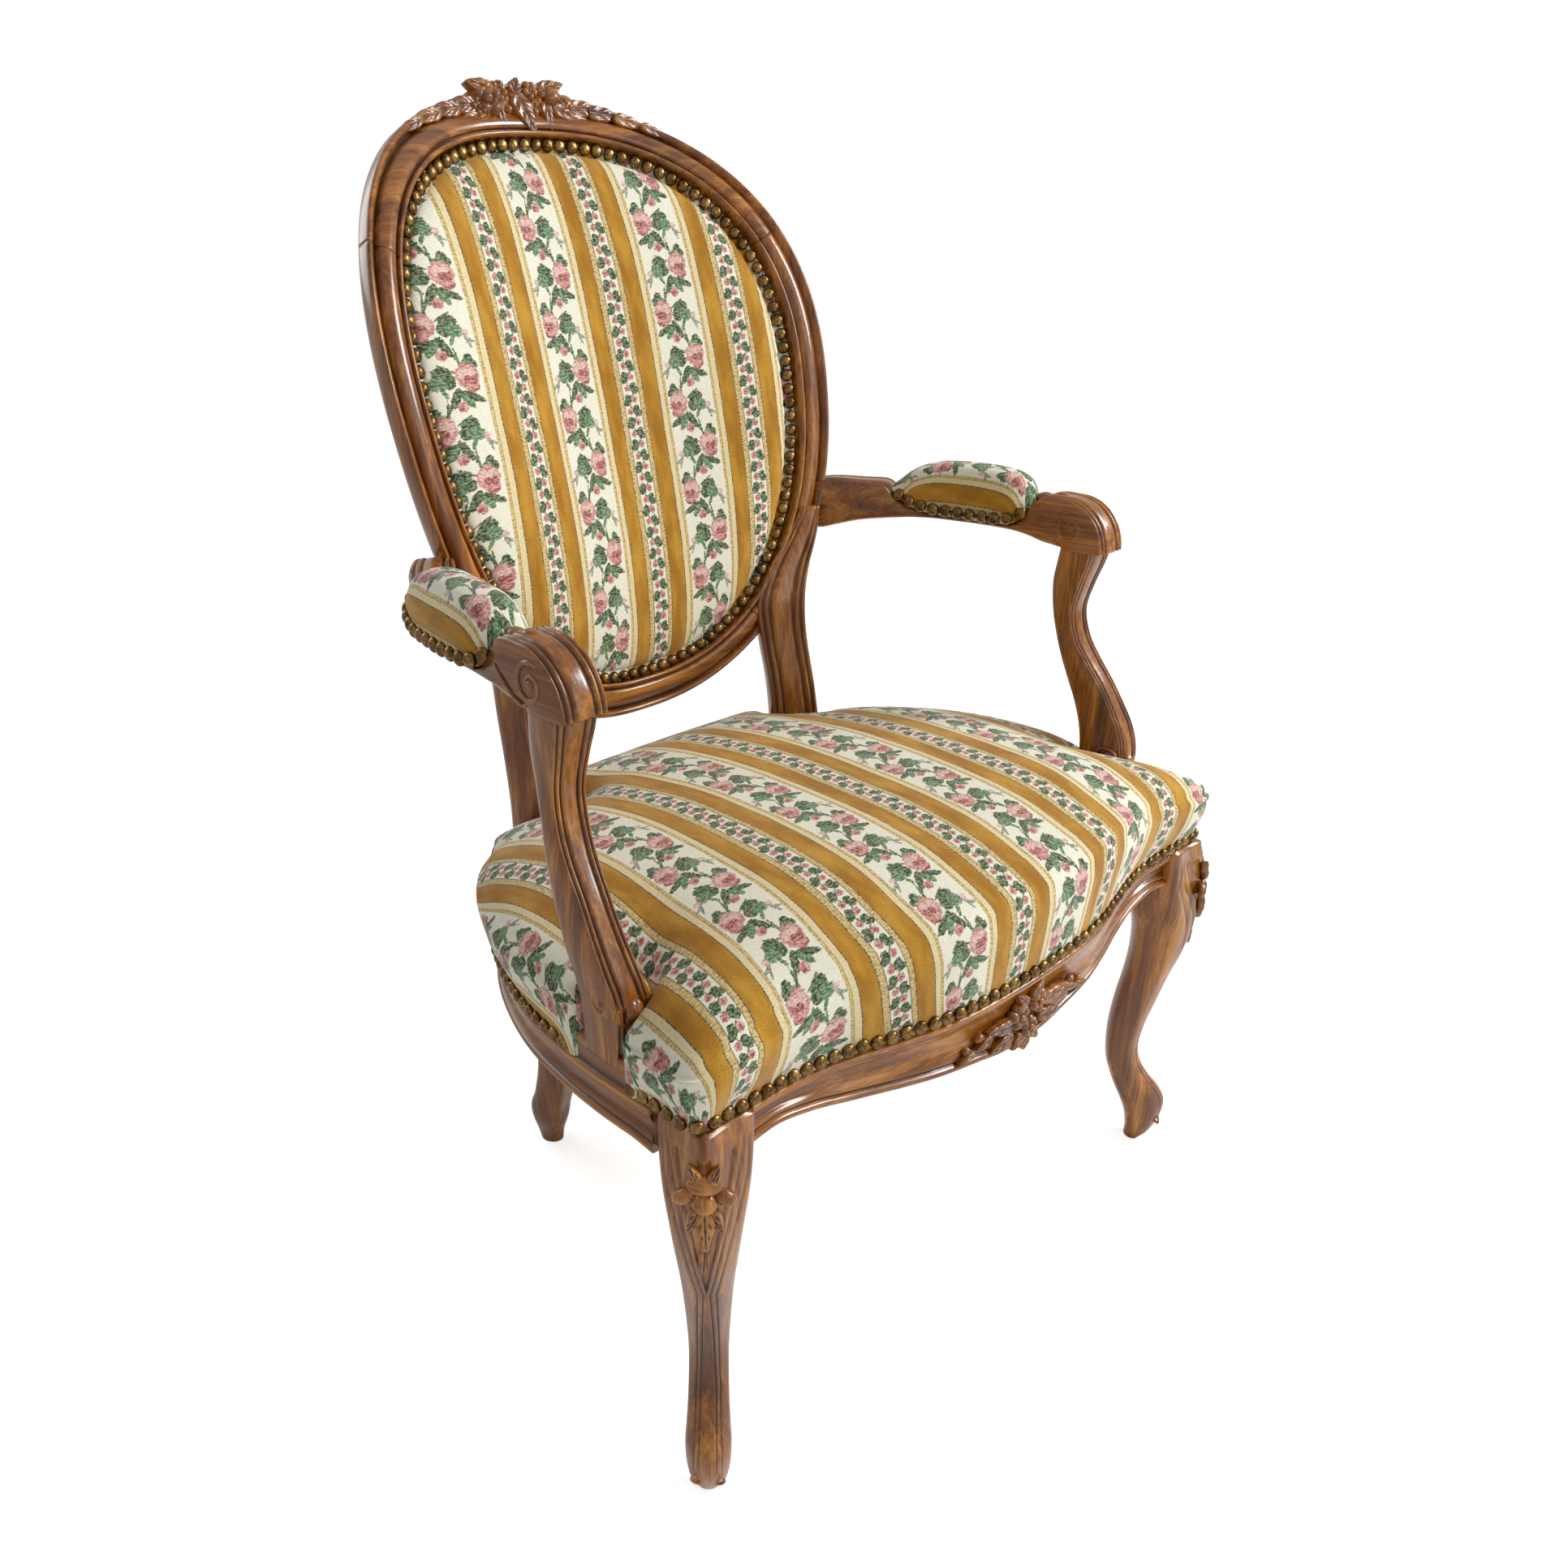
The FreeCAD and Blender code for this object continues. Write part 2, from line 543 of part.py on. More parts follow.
def seat_openings():
    # the cover is folded in above the rails round the supports and the uprights
    low, high = SHOW_TOP - 5, RAIL_TOP + CLEAR
    inner = SUPPORT_INNER - 4
    support = box(inner, 330.0, SUPPORT_FRONT - 2, SUPPORT_REAR + 2, low, high)
    plan = [(218, 384), (187, 341.5), (123, 370), (142, 414), (150, 420), (218, 420)]
    post = Part.Face(ring([vec(x, y, low) for x, y in plan])).extrude(vec(0, 0, high - low))
    return [support, post, mirrored(support), mirrored(post)]


def oval_span(x, inset):
    # lower and upper end of the inset oval at one x
    rim = [oval_inset(degrees, inset) for degrees in range(0, 181, 3)]
    widest = max(range(len(rim)), key=lambda i: rim[i][0])
    spans = []
    for branch in (rim[:widest + 1], rim[widest:][::-1]):
        index = max(i for i in range(len(branch)) if branch[i][0] <= abs(x) or i == 0)
        index = min(index, len(branch) - 2)
        (xa, ua), (xb, ub) = branch[index], branch[index + 1]
        spans.append(ua + (ub - ua) * (abs(x) - xa) / (xb - xa))
    return spans[1], spans[0]


def oval_reach(inset):
    return max(oval_inset(degrees, inset)[0] for degrees in range(60, 121, 3))


BACK_RISE = 32.0


def back_crown(edge, clear, floor, brim):
    # crowned stuffing over the bent back, in slices across its width
    reach = oval_reach(edge)
    sections = []
    for share in (-0.99, -0.95, -0.87, -0.72, -0.5, -0.25, 0.0, 0.25, 0.5, 0.72, 0.87, 0.95, 0.99):
        x = reach * share
        low, high = oval_span(x, edge)
        middle, half = (low + high) / 2, (high - low) / 2
        rise = BACK_RISE * (1 - abs(share) ** 2.4) ** 0.55
        line = [oval_lift(x, low, floor)]
        for v in (-1.0, -0.88, -0.62, -0.22, 0.22, 0.62, 0.88, 1.0):
            lift = brim + rise * (1 - abs(v) ** 2.4) ** 0.6 - clear
            line.append(oval_lift(x, middle + half * v, lift))
        line.append(oval_lift(x, high, floor))
        sections.append(line)
    return loft(sections)


def back_cover():
    # flange under the nails, and the crowned skin over the stuffing
    seat = REBATE_LEVEL + WEB_THICK + 2 * CLEAR
    brim = seat + CLOTH
    edge = FRAME_WIDE + FRAME_REBATE
    flange = oval_sheet(FRAME_WIDE + 3 * CLEAR, seat, brim)
    crown = back_crown(edge - CLOTH, 0.0, seat, brim + 0.5)
    hollow = back_crown(edge, CLOTH, seat - 1.0, brim + 0.5)
    return largest(flange.fuse(crown).cut(hollow))


def back_filling():
    floor = REBATE_LEVEL + WEB_THICK + 2 * CLEAR
    brim = floor + CLOTH
    return back_crown(FRAME_WIDE + FRAME_REBATE + CLEAR, CLOTH + CLEAR, floor, brim + 0.5)


# Arm pad: place along the arm, half width at the nails, crown height
PAD_LINE = [(206.0, 16.5, 650.0), (220.0, 22.0, 660.0), (250.0, 23.5, 664.5), (280.0, 23.5, 665.5),
            (305.0, 23.5, 664.5), (328.0, 22.0, 659.0), (342.0, 17.0, 651.0)]
PAD_SWELL = 2.5


def pad_outline(half, foot, high, inset):
    # one side of the pad's section, from the foot to the crown
    return [(half - inset, foot), (half + PAD_SWELL - inset, foot + (high - foot) * 0.35),
            (half * 0.86 - inset, foot + (high - foot) * 0.74 - inset * 0.5),
            (half * 0.45, high - 1.2 - inset)]


def arm_pad(hollow):
    # stuffing over the arm's core, or the skin round it
    sections = []
    for y, half, high in PAD_LINE:
        x, low, lip, top, side, core = smooth(ARM_LINE, y)
        out_x, out_y = arm_heading(y)
        foot = lip + 0.5 + CLEAR
        outer = pad_outline(half, foot, high, 0.0 if hollow else CLOTH + CLEAR)
        crown = high - (0.0 if hollow else CLOTH + CLEAR)
        if hollow:
            inner = pad_outline(half, foot, high, CLOTH)
            profile = outer + [(0, crown)] + [(-w, z) for w, z in reversed(outer)]
            profile += [(-w, z) for w, z in inner] + [(0, crown - CLOTH)] + inner[::-1]
        else:
            inner = core + CLEAR
            profile = [(inner, top + CLEAR), (inner, foot)] + outer + [(0, crown)]
            profile += [(-w, z) for w, z in reversed(outer)] + [(-inner, foot), (-inner, top + CLEAR)]
        sections.append([vec(x + out_x * w, y + out_y * w, z) for w, z in profile])
    return loft(sections)


def nail(place, normal):
    # domed head drawn as a faceted cone
    n = FreeCAD.Vector(normal).normalize()
    side = n.cross(vec(0, 0, 1)) if abs(n.z) < 0.9 else n.cross(vec(0, 1, 0))
    side.normalize()
    up = side.cross(n)
    rim = []
    for i in range(NAIL_SIDES):
        a = 2 * math.pi * i / NAIL_SIDES
        rim.append(place + side * (math.cos(a) * NAIL_HEAD / 2) + up * (math.sin(a) * NAIL_HEAD / 2))
    top = place + n * NAIL_HIGH
    return closed([rim] + [[rim[i], rim[(i + 1) % NAIL_SIDES], top] for i in range(NAIL_SIDES)])


def along(points, pitch):
    # evenly spaced places on a line of points, with the direction of the line
    lengths = [0.0]
    for a, b in zip(points, points[1:]):
        lengths.append(lengths[-1] + (b - a).Length)
    count = max(1, round(lengths[-1] / pitch))
    places = []
    for i in range(count):
        target = lengths[-1] * (i + 0.5) / count
        index = max(j for j in range(len(points) - 1) if lengths[j] <= target)
        share = (target - lengths[index]) / (lengths[index + 1] - lengths[index])
        heading = (points[index + 1] - points[index])
        places.append((points[index] + heading * share, heading.normalize()))
    return places


def seat_nails():
    heads = []
    lift = SHOW_TOP + NAIL_HEAD / 2 + 1.2
    corner = FRONT_HALF + CLEAR + CLOTH
    half = [vec(row[0], row[1], lift) for row in front_edge()]
    half += [vec(280.0, 6.5, lift), vec(corner - 7.0, 6.5, lift), vec(corner, 13.5, lift),
             vec(corner, SUPPORT_FRONT - 2, lift)]
    front = [vec(-p.x, p.y, lift) for p in reversed(half[1:])] + half
    side = [vec(row[0], row[1], lift) for row in side_edge()]
    rear = [vec(140.0, REAR_EDGE, lift), vec(-140.0, REAR_EDGE, lift)]
    lines = [front, side, [vec(-p.x, p.y, p.z) for p in reversed(side)], rear]
    for line in lines:
        for place, heading in along(line, NAIL_PITCH):
            out = heading.cross(vec(0, 0, 1))
            heads.append(nail(place + out * 2 * CLEAR, out))
    return Part.makeCompound(heads)


def back_nails(inward, level, sign, spread=1):
    heads = []
    rim = [oval_point(360.0 * i / 120, inward, level) for i in range(121)]
    for place, heading in along(rim, NAIL_PITCH * spread):
        slope = OVAL_BEND * OVAL_BEND_POWER / OVAL_BEND_AT
        slope *= abs(place.x / OVAL_BEND_AT) ** (OVAL_BEND_POWER - 1)
        out = vec(-math.copysign(slope, place.x), -math.cos(OVAL_LEAN), math.sin(OVAL_LEAN))
        out = out * sign
        heads.append(nail(place, out))
    return Part.makeCompound(heads)


def arm_nails():
    heads = []
    for side in (-1, 1):
        line = []
        for y, half, high in PAD_LINE:
            x, low, lip, top, wide, core = smooth(ARM_LINE, y)
            out_x, out_y = arm_heading(y)
            reach = side * (half + PAD_SWELL * 0.7 + CLEAR)
            line.append(vec(x + out_x * reach, y + out_y * reach, lip + 5.5))
        for place, heading in along(line, NAIL_PITCH):
            out = heading.cross(vec(0, 0, 1)) * side
            heads.append(nail(place, out))
    return Part.makeCompound(heads)


def strap(a, b):
    # flat band between two edge points, in a horizontal plane
    heading = (b - a).normalize()
    side = vec(-heading.y, heading.x, 0) * (WEB_WIDE / 2)
    face = Part.Face(ring([a + side, b + side, b - side, a - side]))
    return face.extrude(vec(0, 0, WEB_THICK))


def seat_webbing():
    # the fore-and-aft bands lie on the cross bands
    straps = []
    for y in (44.0, 165.0, 237.0, 309.0):
        reach = smooth(SIDE_LINE, y + WEB_WIDE / 2)[0] - 12
        straps.append(strap(vec(-reach, y, RAIL_TOP), vec(reach, y, RAIL_TOP)))
    for x in (-156.0, -78.0, 0.0, 78.0, 156.0):
        front = smooth(FRONT_LINE, abs(x))[0] + 12
        rear = 408.0 if abs(x) < 100 else 342.0
        straps.append(strap(vec(x, front, RAIL_TOP + WEB_THICK), vec(x, rear, RAIL_TOP + WEB_THICK)))
    return Part.makeCompound(straps)


def oval_sheet(edge, near, far):
    # bent oval sheet, cut from a plate swept through the back's own curve
    reach = OVAL_HALF_WIDTH - edge + 12
    stations = [-reach + 2 * reach * i / 12 for i in range(13)]
    high = OVAL_HALF_HEIGHT + 10
    sections = []
    for x in stations:
        sections.append([oval_lift(x, -high, near), oval_lift(x, high, near),
                         oval_lift(x, high, far), oval_lift(x, -high, far)])
    plate = loft(sections)
    lean = vec(0, -math.cos(OVAL_LEAN), math.sin(OVAL_LEAN))
    rim = []
    for i in range(32):
        p = oval_point(360.0 * i / 32, edge, 0)
        up = (p.y - OVAL_Y) * math.sin(OVAL_LEAN) + (p.z - OVAL_Z) * math.cos(OVAL_LEAN)
        rim.append(vec(p.x, OVAL_Y + up * math.sin(OVAL_LEAN), OVAL_Z + up * math.cos(OVAL_LEAN)))
    punch = Part.Face(ring([p - lean * 90 for p in rim])).extrude(lean * 260)
    return plate.common(punch)


def back_webbing():
    # upright bands tacked to the step of the back frame
    straps = []
    low, high = REBATE_LEVEL + CLEAR, REBATE_LEVEL + CLEAR + WEB_THICK
    for x in (-120.0, -40.0, 40.0, 120.0):
        bottom, top = oval_span(abs(x) + 25.0, FRAME_WIDE + 4.0)
        sections = []
        for side in (-25.0, -12.0, 0.0, 12.0, 25.0):
            sections.append([oval_lift(x + side, bottom, low), oval_lift(x + side, top, low),
                             oval_lift(x + side, top, high), oval_lift(x + side, bottom, high)])
        straps.append(loft(sections))
    return Part.makeCompound(straps)


# Corner braces: plan outline, cut to the rails they are glued against
FRONT_BLOCK = [(205, 20), (205, 56), (238, 56), (262, 80), (262, 115), (306, 115), (306, 20)]
REAR_BLOCK = [(62, 392), (62, 360), (125, 360), (186, 334), (186, 316), (245, 316), (245, 362),
              (204, 378), (204, 392)]
BLOCK_LOW = 324.0
BLOCK_HIGH = 372.0
SCREW_LEVEL = 332.0


def brace(plan, neighbours):
    low = [vec(x, y, BLOCK_LOW) for x, y in plan]
    solid = Part.Face(ring(low)).extrude(vec(0, 0, BLOCK_HIGH - BLOCK_LOW))
    return largest(solid.cut(neighbours))


def screw(head, tip):
    axis = (tip - head).normalize()
    side = axis.cross(vec(0, 0, 1)).normalize()
    up = side.cross(axis)
    rings = []
    for distance, radius in ((0.0, 4.0), (2.5, 2.0), ((tip - head).Length, 1.2)):
        rings.append([head + axis * distance + side * (radius * math.cos(math.pi * i / 3))
                      + up * (radius * math.sin(math.pi * i / 3)) for i in range(6)])
    return loft(rings)


def build():
    nodes = {}
    leg = front_leg()
    rail_front = front_rail()
    side_body, side_tenons = side_rail()
    upright = rear_upright()
    crest = crest_rail()
    bottom = back_bottom_rail()
    rear_body, rear_tenons = rear_rail()
    arm_body, arm_tenon, arm_scroll = arm()
    support, volute, low_tenon, top_tenon = arm_support()

    rail_side = fused(largest(side_body.cut(upright)), side_tenons)
    rear = fused(largest(rear_body.cut([upright, mirrored(upright)])), rear_tenons)
    arm_top = fused(largest(arm_body.fuse(arm_scroll).cut(upright)), [arm_tenon])
    support = fused(largest(support.fuse(volute).cut([arm_top, rail_side])), [low_tenon, top_tenon])
    arm_top = largest(arm_top.cut(support))
    rail_side = largest(rail_side.cut(support))
    upright = largest(upright.cut([crest, bottom, rear, rail_side, arm_top]))
    leg = largest(leg.cut([rail_front, rail_side]))
    front_brace = brace(FRONT_BLOCK, [rail_front, rail_side, leg, support])
    rear_brace = brace(REAR_BLOCK, [rear, rail_side, upright])

    z = SCREW_LEVEL
    screws = [screw(vec(221, 56, z), vec(221, 18, z)), screw(vec(262, 100, z), vec(308, 100, z)),
              screw(vec(92, 360, z), vec(92, 402, z)), screw(vec(186, 325, z), vec(240, 325, z))]
    both = screws + [mirrored(one) for one in screws]
    rail_front = rail_front.cut(both)
    rear = rear.cut(both)
    rail_side = rail_side.cut(screws)
    front_brace = front_brace.cut(screws)
    rear_brace = rear_brace.cut(screws)

    nodes["front_rail"] = rail_front
    nodes["rear_rail"] = rear
    nodes["crest_rail"] = crest
    nodes["back_bottom_rail"] = bottom
    nodes["brace_screws"] = Part.makeCompound(both)
    pairs = {"front_leg": leg, "side_rail": rail_side, "rear_upright": upright, "arm": arm_top,
             "arm_support": support, "front_corner_brace": front_brace, "rear_corner_brace": rear_brace}
    return nodes, pairs


def main():
    os.makedirs("parts", exist_ok=True)
    nodes, pairs = build()
    web_top = RAIL_TOP + 2 * WEB_THICK
    cover = seat_dome(0.0, SHOW_TOP + CLEAR).cut([seat_dome(CLOTH, SHOW_TOP - 2)] + seat_openings())
    nodes["seat_cover"] = largest(cover)
    nodes["seat_padding"] = seat_dome(CLOTH + 2 * CLEAR, web_top + CLEAR)
    nodes["seat_webbing"] = seat_webbing()
    nodes["seat_nails"] = seat_nails()
    nodes["back_front_cover"] = back_cover()
    nodes["back_padding"] = back_filling()
    nodes["back_webbing"] = back_webbing()
    nodes["back_rear_cover"] = oval_sheet(FRAME_WIDE - 6, -FRAME_BACK - 2 * CLEAR, -FRAME_BACK - 2 * CLEAR - CLOTH)
    nodes["back_front_nails"] = back_nails(FRAME_WIDE + 6.2, REBATE_LEVEL + WEB_THICK + CLOTH + 4.8 * CLEAR, 1)
    nodes["back_rear_nails"] = back_nails(FRAME_WIDE, -FRAME_BACK - CLOTH - 3.3 * CLEAR, -1, 2)
    pairs["arm_padding"] = arm_pad(False)
    pairs["arm_cover"] = arm_pad(True)
    pairs["arm_nails"] = arm_nails()
    for name, shape in pairs.items():
        nodes[name + "_left"] = shape
        nodes[name + "_right"] = mirrored(shape)
    whole = Part.makeCompound(list(nodes.values())).BoundBox
    centre = -(whole.YMin + whole.YMax) / 2
    for name, shape in nodes.items():
        placed = shape.copy()
        placed.translate(vec(0, centre, 0))
        placed.exportStep(os.path.join("parts", name + ".step"))
        print(name, len(placed.Solids), round(placed.Volume), placed.isValid())
    print("shift", centre, "size", whole.XLength, whole.YLength, whole.ZLength, whole.ZMin)


main()
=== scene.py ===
"""Medallion-back armchair: polished carved frame, striped cloth, brass nails."""
import math
import random

import bmesh
import bpy
import numpy as np
from mathutils import Matrix, Vector


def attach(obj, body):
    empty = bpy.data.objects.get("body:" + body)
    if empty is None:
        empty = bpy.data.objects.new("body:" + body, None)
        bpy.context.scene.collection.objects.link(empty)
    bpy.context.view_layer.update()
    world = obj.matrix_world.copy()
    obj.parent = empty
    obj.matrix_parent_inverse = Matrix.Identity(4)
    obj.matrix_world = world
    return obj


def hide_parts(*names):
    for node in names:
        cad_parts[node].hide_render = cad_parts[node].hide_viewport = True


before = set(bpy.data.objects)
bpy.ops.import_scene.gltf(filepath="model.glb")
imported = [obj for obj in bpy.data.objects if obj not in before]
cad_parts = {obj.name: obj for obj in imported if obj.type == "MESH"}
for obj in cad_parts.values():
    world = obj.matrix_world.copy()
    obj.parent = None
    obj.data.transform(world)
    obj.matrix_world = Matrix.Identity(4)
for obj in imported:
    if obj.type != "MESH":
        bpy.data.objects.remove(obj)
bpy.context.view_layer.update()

bl_info = {
    "name": "Medallion-Back Armchair",
    "version": (1, 0, 0),
    "blender": (4, 5, 0),
    "location": "View3D > Sidebar > Armchair",
    "description": "Builds the frame, upholstery and nails of an oval-back armchair",
    "category": "Object",
}

# Lengths below are millimetres, as in the joiner's drawing; Y starts at the front feet
SHIFT_Y = -277.32584280745067
BODY = "root"
# Seat frame: half width in front, heights of the rails, their thickness, the step under the cloth
FRONT_HALF, SHOW_TOP, RAIL_TOP, RAIL_THICK, REBATE, LEG_BLOCK = 320, 350, 372, 30, 3, 46
SIDE_RAIL_LOW, SIDE_END = 312, 391
# Oval of the back: centre, lean, half axes, egg shape, and how far its sides bend forward
OVAL_Y, OVAL_Z, OVAL_LEAN = 498.6, 714.7, 0.281
OVAL_HALF_HEIGHT, OVAL_HALF_WIDTH, OVAL_EGG = 267.4, 238.5, 0.077
OVAL_POWER_TOP, OVAL_POWER_LOW = 0.90, 0.849
OVAL_BEND, OVAL_BEND_AT, OVAL_BEND_POWER = 74, 220, 1.95
FRAME_WIDE, FRAME_REBATE, FRAME_BACK, REBATE_LEVEL = 32, 13, 22, 3
# Joints of the back's frame, in degrees from its top
CREST_ANGLE, LOWER_ANGLE, JOINT_GAP = 61, 143, 0.035
CLOTH, CLEAR, SEAT_CROWN = 1.2, 0.3, 458
NAIL_HEAD, NAIL_HIGH, NAIL_PITCH = 9.6, 3.4, 12.4
SEAT_CENTRE, REAR_EDGE, SIDE_START = 205, 415.7, 50
# Arms from knuckle to post, the padded part between, and the height at which the knuckle turns
ARM_FRONT, ARM_REAR, PAD_FRONT, PAD_REAR, KNUCKLE_Z = 168, 418, 206, 342, 600.8
# Depth that carved leaves and buds are let into the wood, and a face seen at 45 degrees
LEAF_SINK, BUD_SINK, DIAGONAL = 3, 2, math.sqrt(0.5)
# Cloth: tilt of its stripes on the back, place of a narrow stripe there, width it is stretched to on the seat
STRIPE_TILT, STRIPE_SHIFT, SEAT_REPEAT, PAD_SHIFT = 0.034, 27.3, 131, 12

LEG_CURVE = [
    (0, -3, -17, 9.5, 0), (10, 6.5, -17, 13.5, 0), (30, 13.5, -21, 17, 0),
    (50, 14, -29, 18, 0), (64, 7, -36, 17, 0), (80, -6, -43, 16, 0),
    (100, -18, -50, 15.5, 0), (120, -22.5, -53, 15.5, 0),
    (145, -20.5, -54, 16.5, 0), (175, -14, -52, 18, 0),
    (205, -7, -48, 20, 0), (235, 1, -46, 23, 0), (265, 6, -49, 26.5, 0.1),
    (290, 7.5, -58, 30, 0.3), (312, 7, -66.5, 32, 0.6), (332, 4, -66.5, 32.5, 0.85),
    (350, -1.4, -66.5, 32.5, 1)]
FRONT_LINE = [(0, -30), (60, -28), (100, -23.5), (135, -15), (170, -5),
              (205, 3), (240, 6), (277, 6)]
FRONT_LOW = [(0, 290), (28, 291), (60, 296.5), (100, 301), (140, 304.5),
             (180, 308.5), (215, 314), (245, 318), (277, 315)]
SIDE_LINE = [(50, 322), (80, 323.5), (110, 324), (150, 322), (200, 315),
             (250, 300), (300, 277), (345, 246), (391, 209)]
POST_CURVE = [
    (0, 150.5, 432, 10.5, 12.5, 20), (14, 151, 432, 13, 15, 20),
    (34, 152, 429, 18.5, 19.5, 20), (52, 153, 426, 19.5, 19.5, 22),
    (75, 154, 417, 17.5, 18, 24), (120, 156, 405, 17, 17, 28),
    (200, 160, 394, 19, 17.5, 28), (260, 163, 388, 21.5, 18, 28),
    (352, 167, 382.5, 29, 22, 24), (412, 168, 385, 25, 18, 28),
    (455, 167, 391, 24, 17, 29), (503, 164.5, 401, 24, 17, 29),
    (540, 164, 405.5, 25, 17, 29), (570, 176, 406, 21, 14, 30),
    (600, 192, 402, 15, 11, 32), (625, 201, 399, 10, 8, 33)]
ARM_LINE = [
    (168, 300.2, 601.2, 637.5, 645.2, 18.5), (188, 299.3, 604, 637, 645.5, 19),
    (197, 298.7, 607, 634, 640, 19.5), (206, 298.5, 609, 624, 634, 20),
    (220, 297.5, 611, 617, 632, 20.5), (250, 294.5, 612.5, 616.5, 632, 21),
    (280, 290.5, 613, 617.5, 632, 21), (305, 285, 613.5, 619, 632, 21),
    (328, 276.5, 613, 624, 634, 20.5), (342, 268.5, 612, 631, 638, 20),
    (352, 263, 611, 639, 645, 19.5), (375, 251, 608, 640, 646.5, 18.5),
    (395, 238, 603, 641, 648, 17), (408, 228, 600, 640, 647, 15),
    (418, 218, 603, 636, 642, 11)]
SUPPORT_LINE = [
    (345, 307, 84, 126, 16), (372, 307, 83, 126, 16),
    (400, 308, 80, 126, 16), (420, 310, 81, 128, 15.5),
    (440, 312, 89, 134, 15), (460, 311.5, 101, 142, 14),
    (480, 309.5, 114, 151, 13.5), (500, 306.5, 129, 158, 14),
    (520, 303, 141, 163, 14.5), (545, 300.5, 147, 169, 14.5),
    (570, 300, 142, 172, 16), (588, 300.2, 136.5, 170, 17.6), (601, 300.3, 133.6, 168, 18.4)]
PAD_LINE = [(206, 16.5, 650), (220, 22, 660), (250, 23.5, 664.5), (280, 23.5, 665.5),
            (305, 23.5, 664.5), (328, 22, 659), (342, 17, 651)]
# Back moulding across its width: outer bead, groove, broad torus, groove, inner bead
BACK_MOULD = [(0, -3), (0.3, -0.5), (1.5, 1.8), (3.2, 2.6), (5.2, 2), (6.8, 0.2), (7.6, -1.8), (8.4, -2.6),
              (9, -1.5), (9.6, 1.2), (11, 4.2), (13, 7), (16.5, 10.2), (20, 12), (23, 12.3),
              (25.2, 11.4), (26.2, 9.2), (26.8, 9), (27.3, 11), (28.2, 13.4), (29.6, 14.3), (31, 13.9),
              (31.8, 12.6), (32, 11)]
# Depth of the flutes over half a face, as shares of its half width
FLUTES = [(0, 0), (0.30, 0.25), (0.40, 1.1), (0.46, 2.6), (0.52, 2.3), (0.58, 0.7), (0.66, 0.3), (0.72, 0.9),
          (0.76, 2.4), (0.82, 2.2), (0.87, 0.9), (0.94, 0.9), (1, 2.6)]


# ---------------------------------------------------------------- curves
def cubic(t, first, leaving, last, arriving):
    """Place at share t between two places, with the slopes at both."""
    return ((2 * t ** 3 - 3 * t ** 2 + 1) * first + (t ** 3 - 2 * t ** 2 + t) * leaving
            + (3 * t ** 2 - 2 * t ** 3) * last + (t ** 3 - t ** 2) * arriving)


def smooth(table, value):
    """Row of a table, read smoothly between its places."""
    rows = np.asarray(table, float)
    value = float(np.clip(value, rows[0, 0], rows[-1, 0]))
    i = int(np.clip(np.searchsorted(rows[:, 0], value, "right") - 1, 0, len(rows) - 2))

    def slope(k):
        a, b = rows[max(k - 1, 0)], rows[min(k + 1, len(rows) - 1)]
        return (b[1:] - a[1:]) / (b[0] - a[0])

    width = rows[i + 1, 0] - rows[i, 0]
    return cubic((value - rows[i, 0]) / width, rows[i, 1:], width * slope(i),
                 rows[i + 1, 1:], width * slope(i + 1))


def reading(table, value):
    """First number of a table's row at this place."""
    return float(smooth(table, value)[0])


def rounded(points, steps):
    """Closed smooth line through points."""
    p = np.asarray(points, float)
    n, out = len(p), []
    for i in range(n):
        a, b, c, d = p[i - 1], p[i], p[(i + 1) % n], p[(i + 2) % n]
        ta, tb, tc = (max(np.linalg.norm(v), 1e-6) ** 0.5 for v in (b - a, c - b, d - c))
        leaving = (c - b) + tb * ((b - a) / ta - (c - a) / (ta + tb))
        arriving = (c - b) + tb * ((d - c) / tc - (d - b) / (tb + tc))
        out += [cubic(k / steps, b, leaving, c, arriving) for k in range(steps)]
    return np.array(out)


def open_curve(points, steps):
    """Smooth line through points, from the first to the last."""
    p = np.asarray(points, float)
    out = []
    for i in range(len(p) - 1):
        a, b, c, d = p[max(i - 1, 0)], p[i], p[i + 1], p[min(i + 2, len(p) - 1)]
        out += [cubic(k / steps, b, (c - a) / 2, c, (d - b) / 2) for k in range(steps)]
    return np.array(out + [p[-1]])


def soft_line(points, sigma):
    """Closed line with its small unevenness spread out."""
    reach = int(math.ceil(3 * sigma))
    if reach < 1:
        return points
    weights = np.exp(-0.5 * (np.arange(-reach, reach + 1) / sigma) ** 2)
    weights /= weights.sum()
    return sum(w * np.roll(points, k, axis=0) for w, k in zip(weights, range(-reach, reach + 1)))


def run_along(points):
    """Length from the first point to each."""
    return np.concatenate([[0], np.cumsum(np.linalg.norm(np.diff(points, axis=0), axis=1))])


def even(points, count):
    """Closed line cut into equal steps."""
    p = np.vstack([points, points[:1]])
    run = run_along(p)
    at = np.linspace(0, run[-1], count, endpoint=False)
    return np.stack([np.interp(at, run, p[:, k]) for k in range(p.shape[1])], axis=1)


def bulged(angle, power):
    """Across and up on a squared circle."""
    c, s = math.cos(angle), math.sin(angle)
    return math.copysign(abs(c) ** power, c), abs(s) ** power


def oval_flat(angle):
    """Outer line of the back as laid flat: across and up."""
    s, c = math.sin(angle), math.cos(angle)
    power = OVAL_POWER_TOP if c > 0 else OVAL_POWER_LOW
    across = math.copysign(abs(s) ** power, s)
    up = math.copysign(abs(c) ** power, c)
    return OVAL_HALF_WIDTH * across * (1 + OVAL_EGG * up), OVAL_HALF_HEIGHT * up


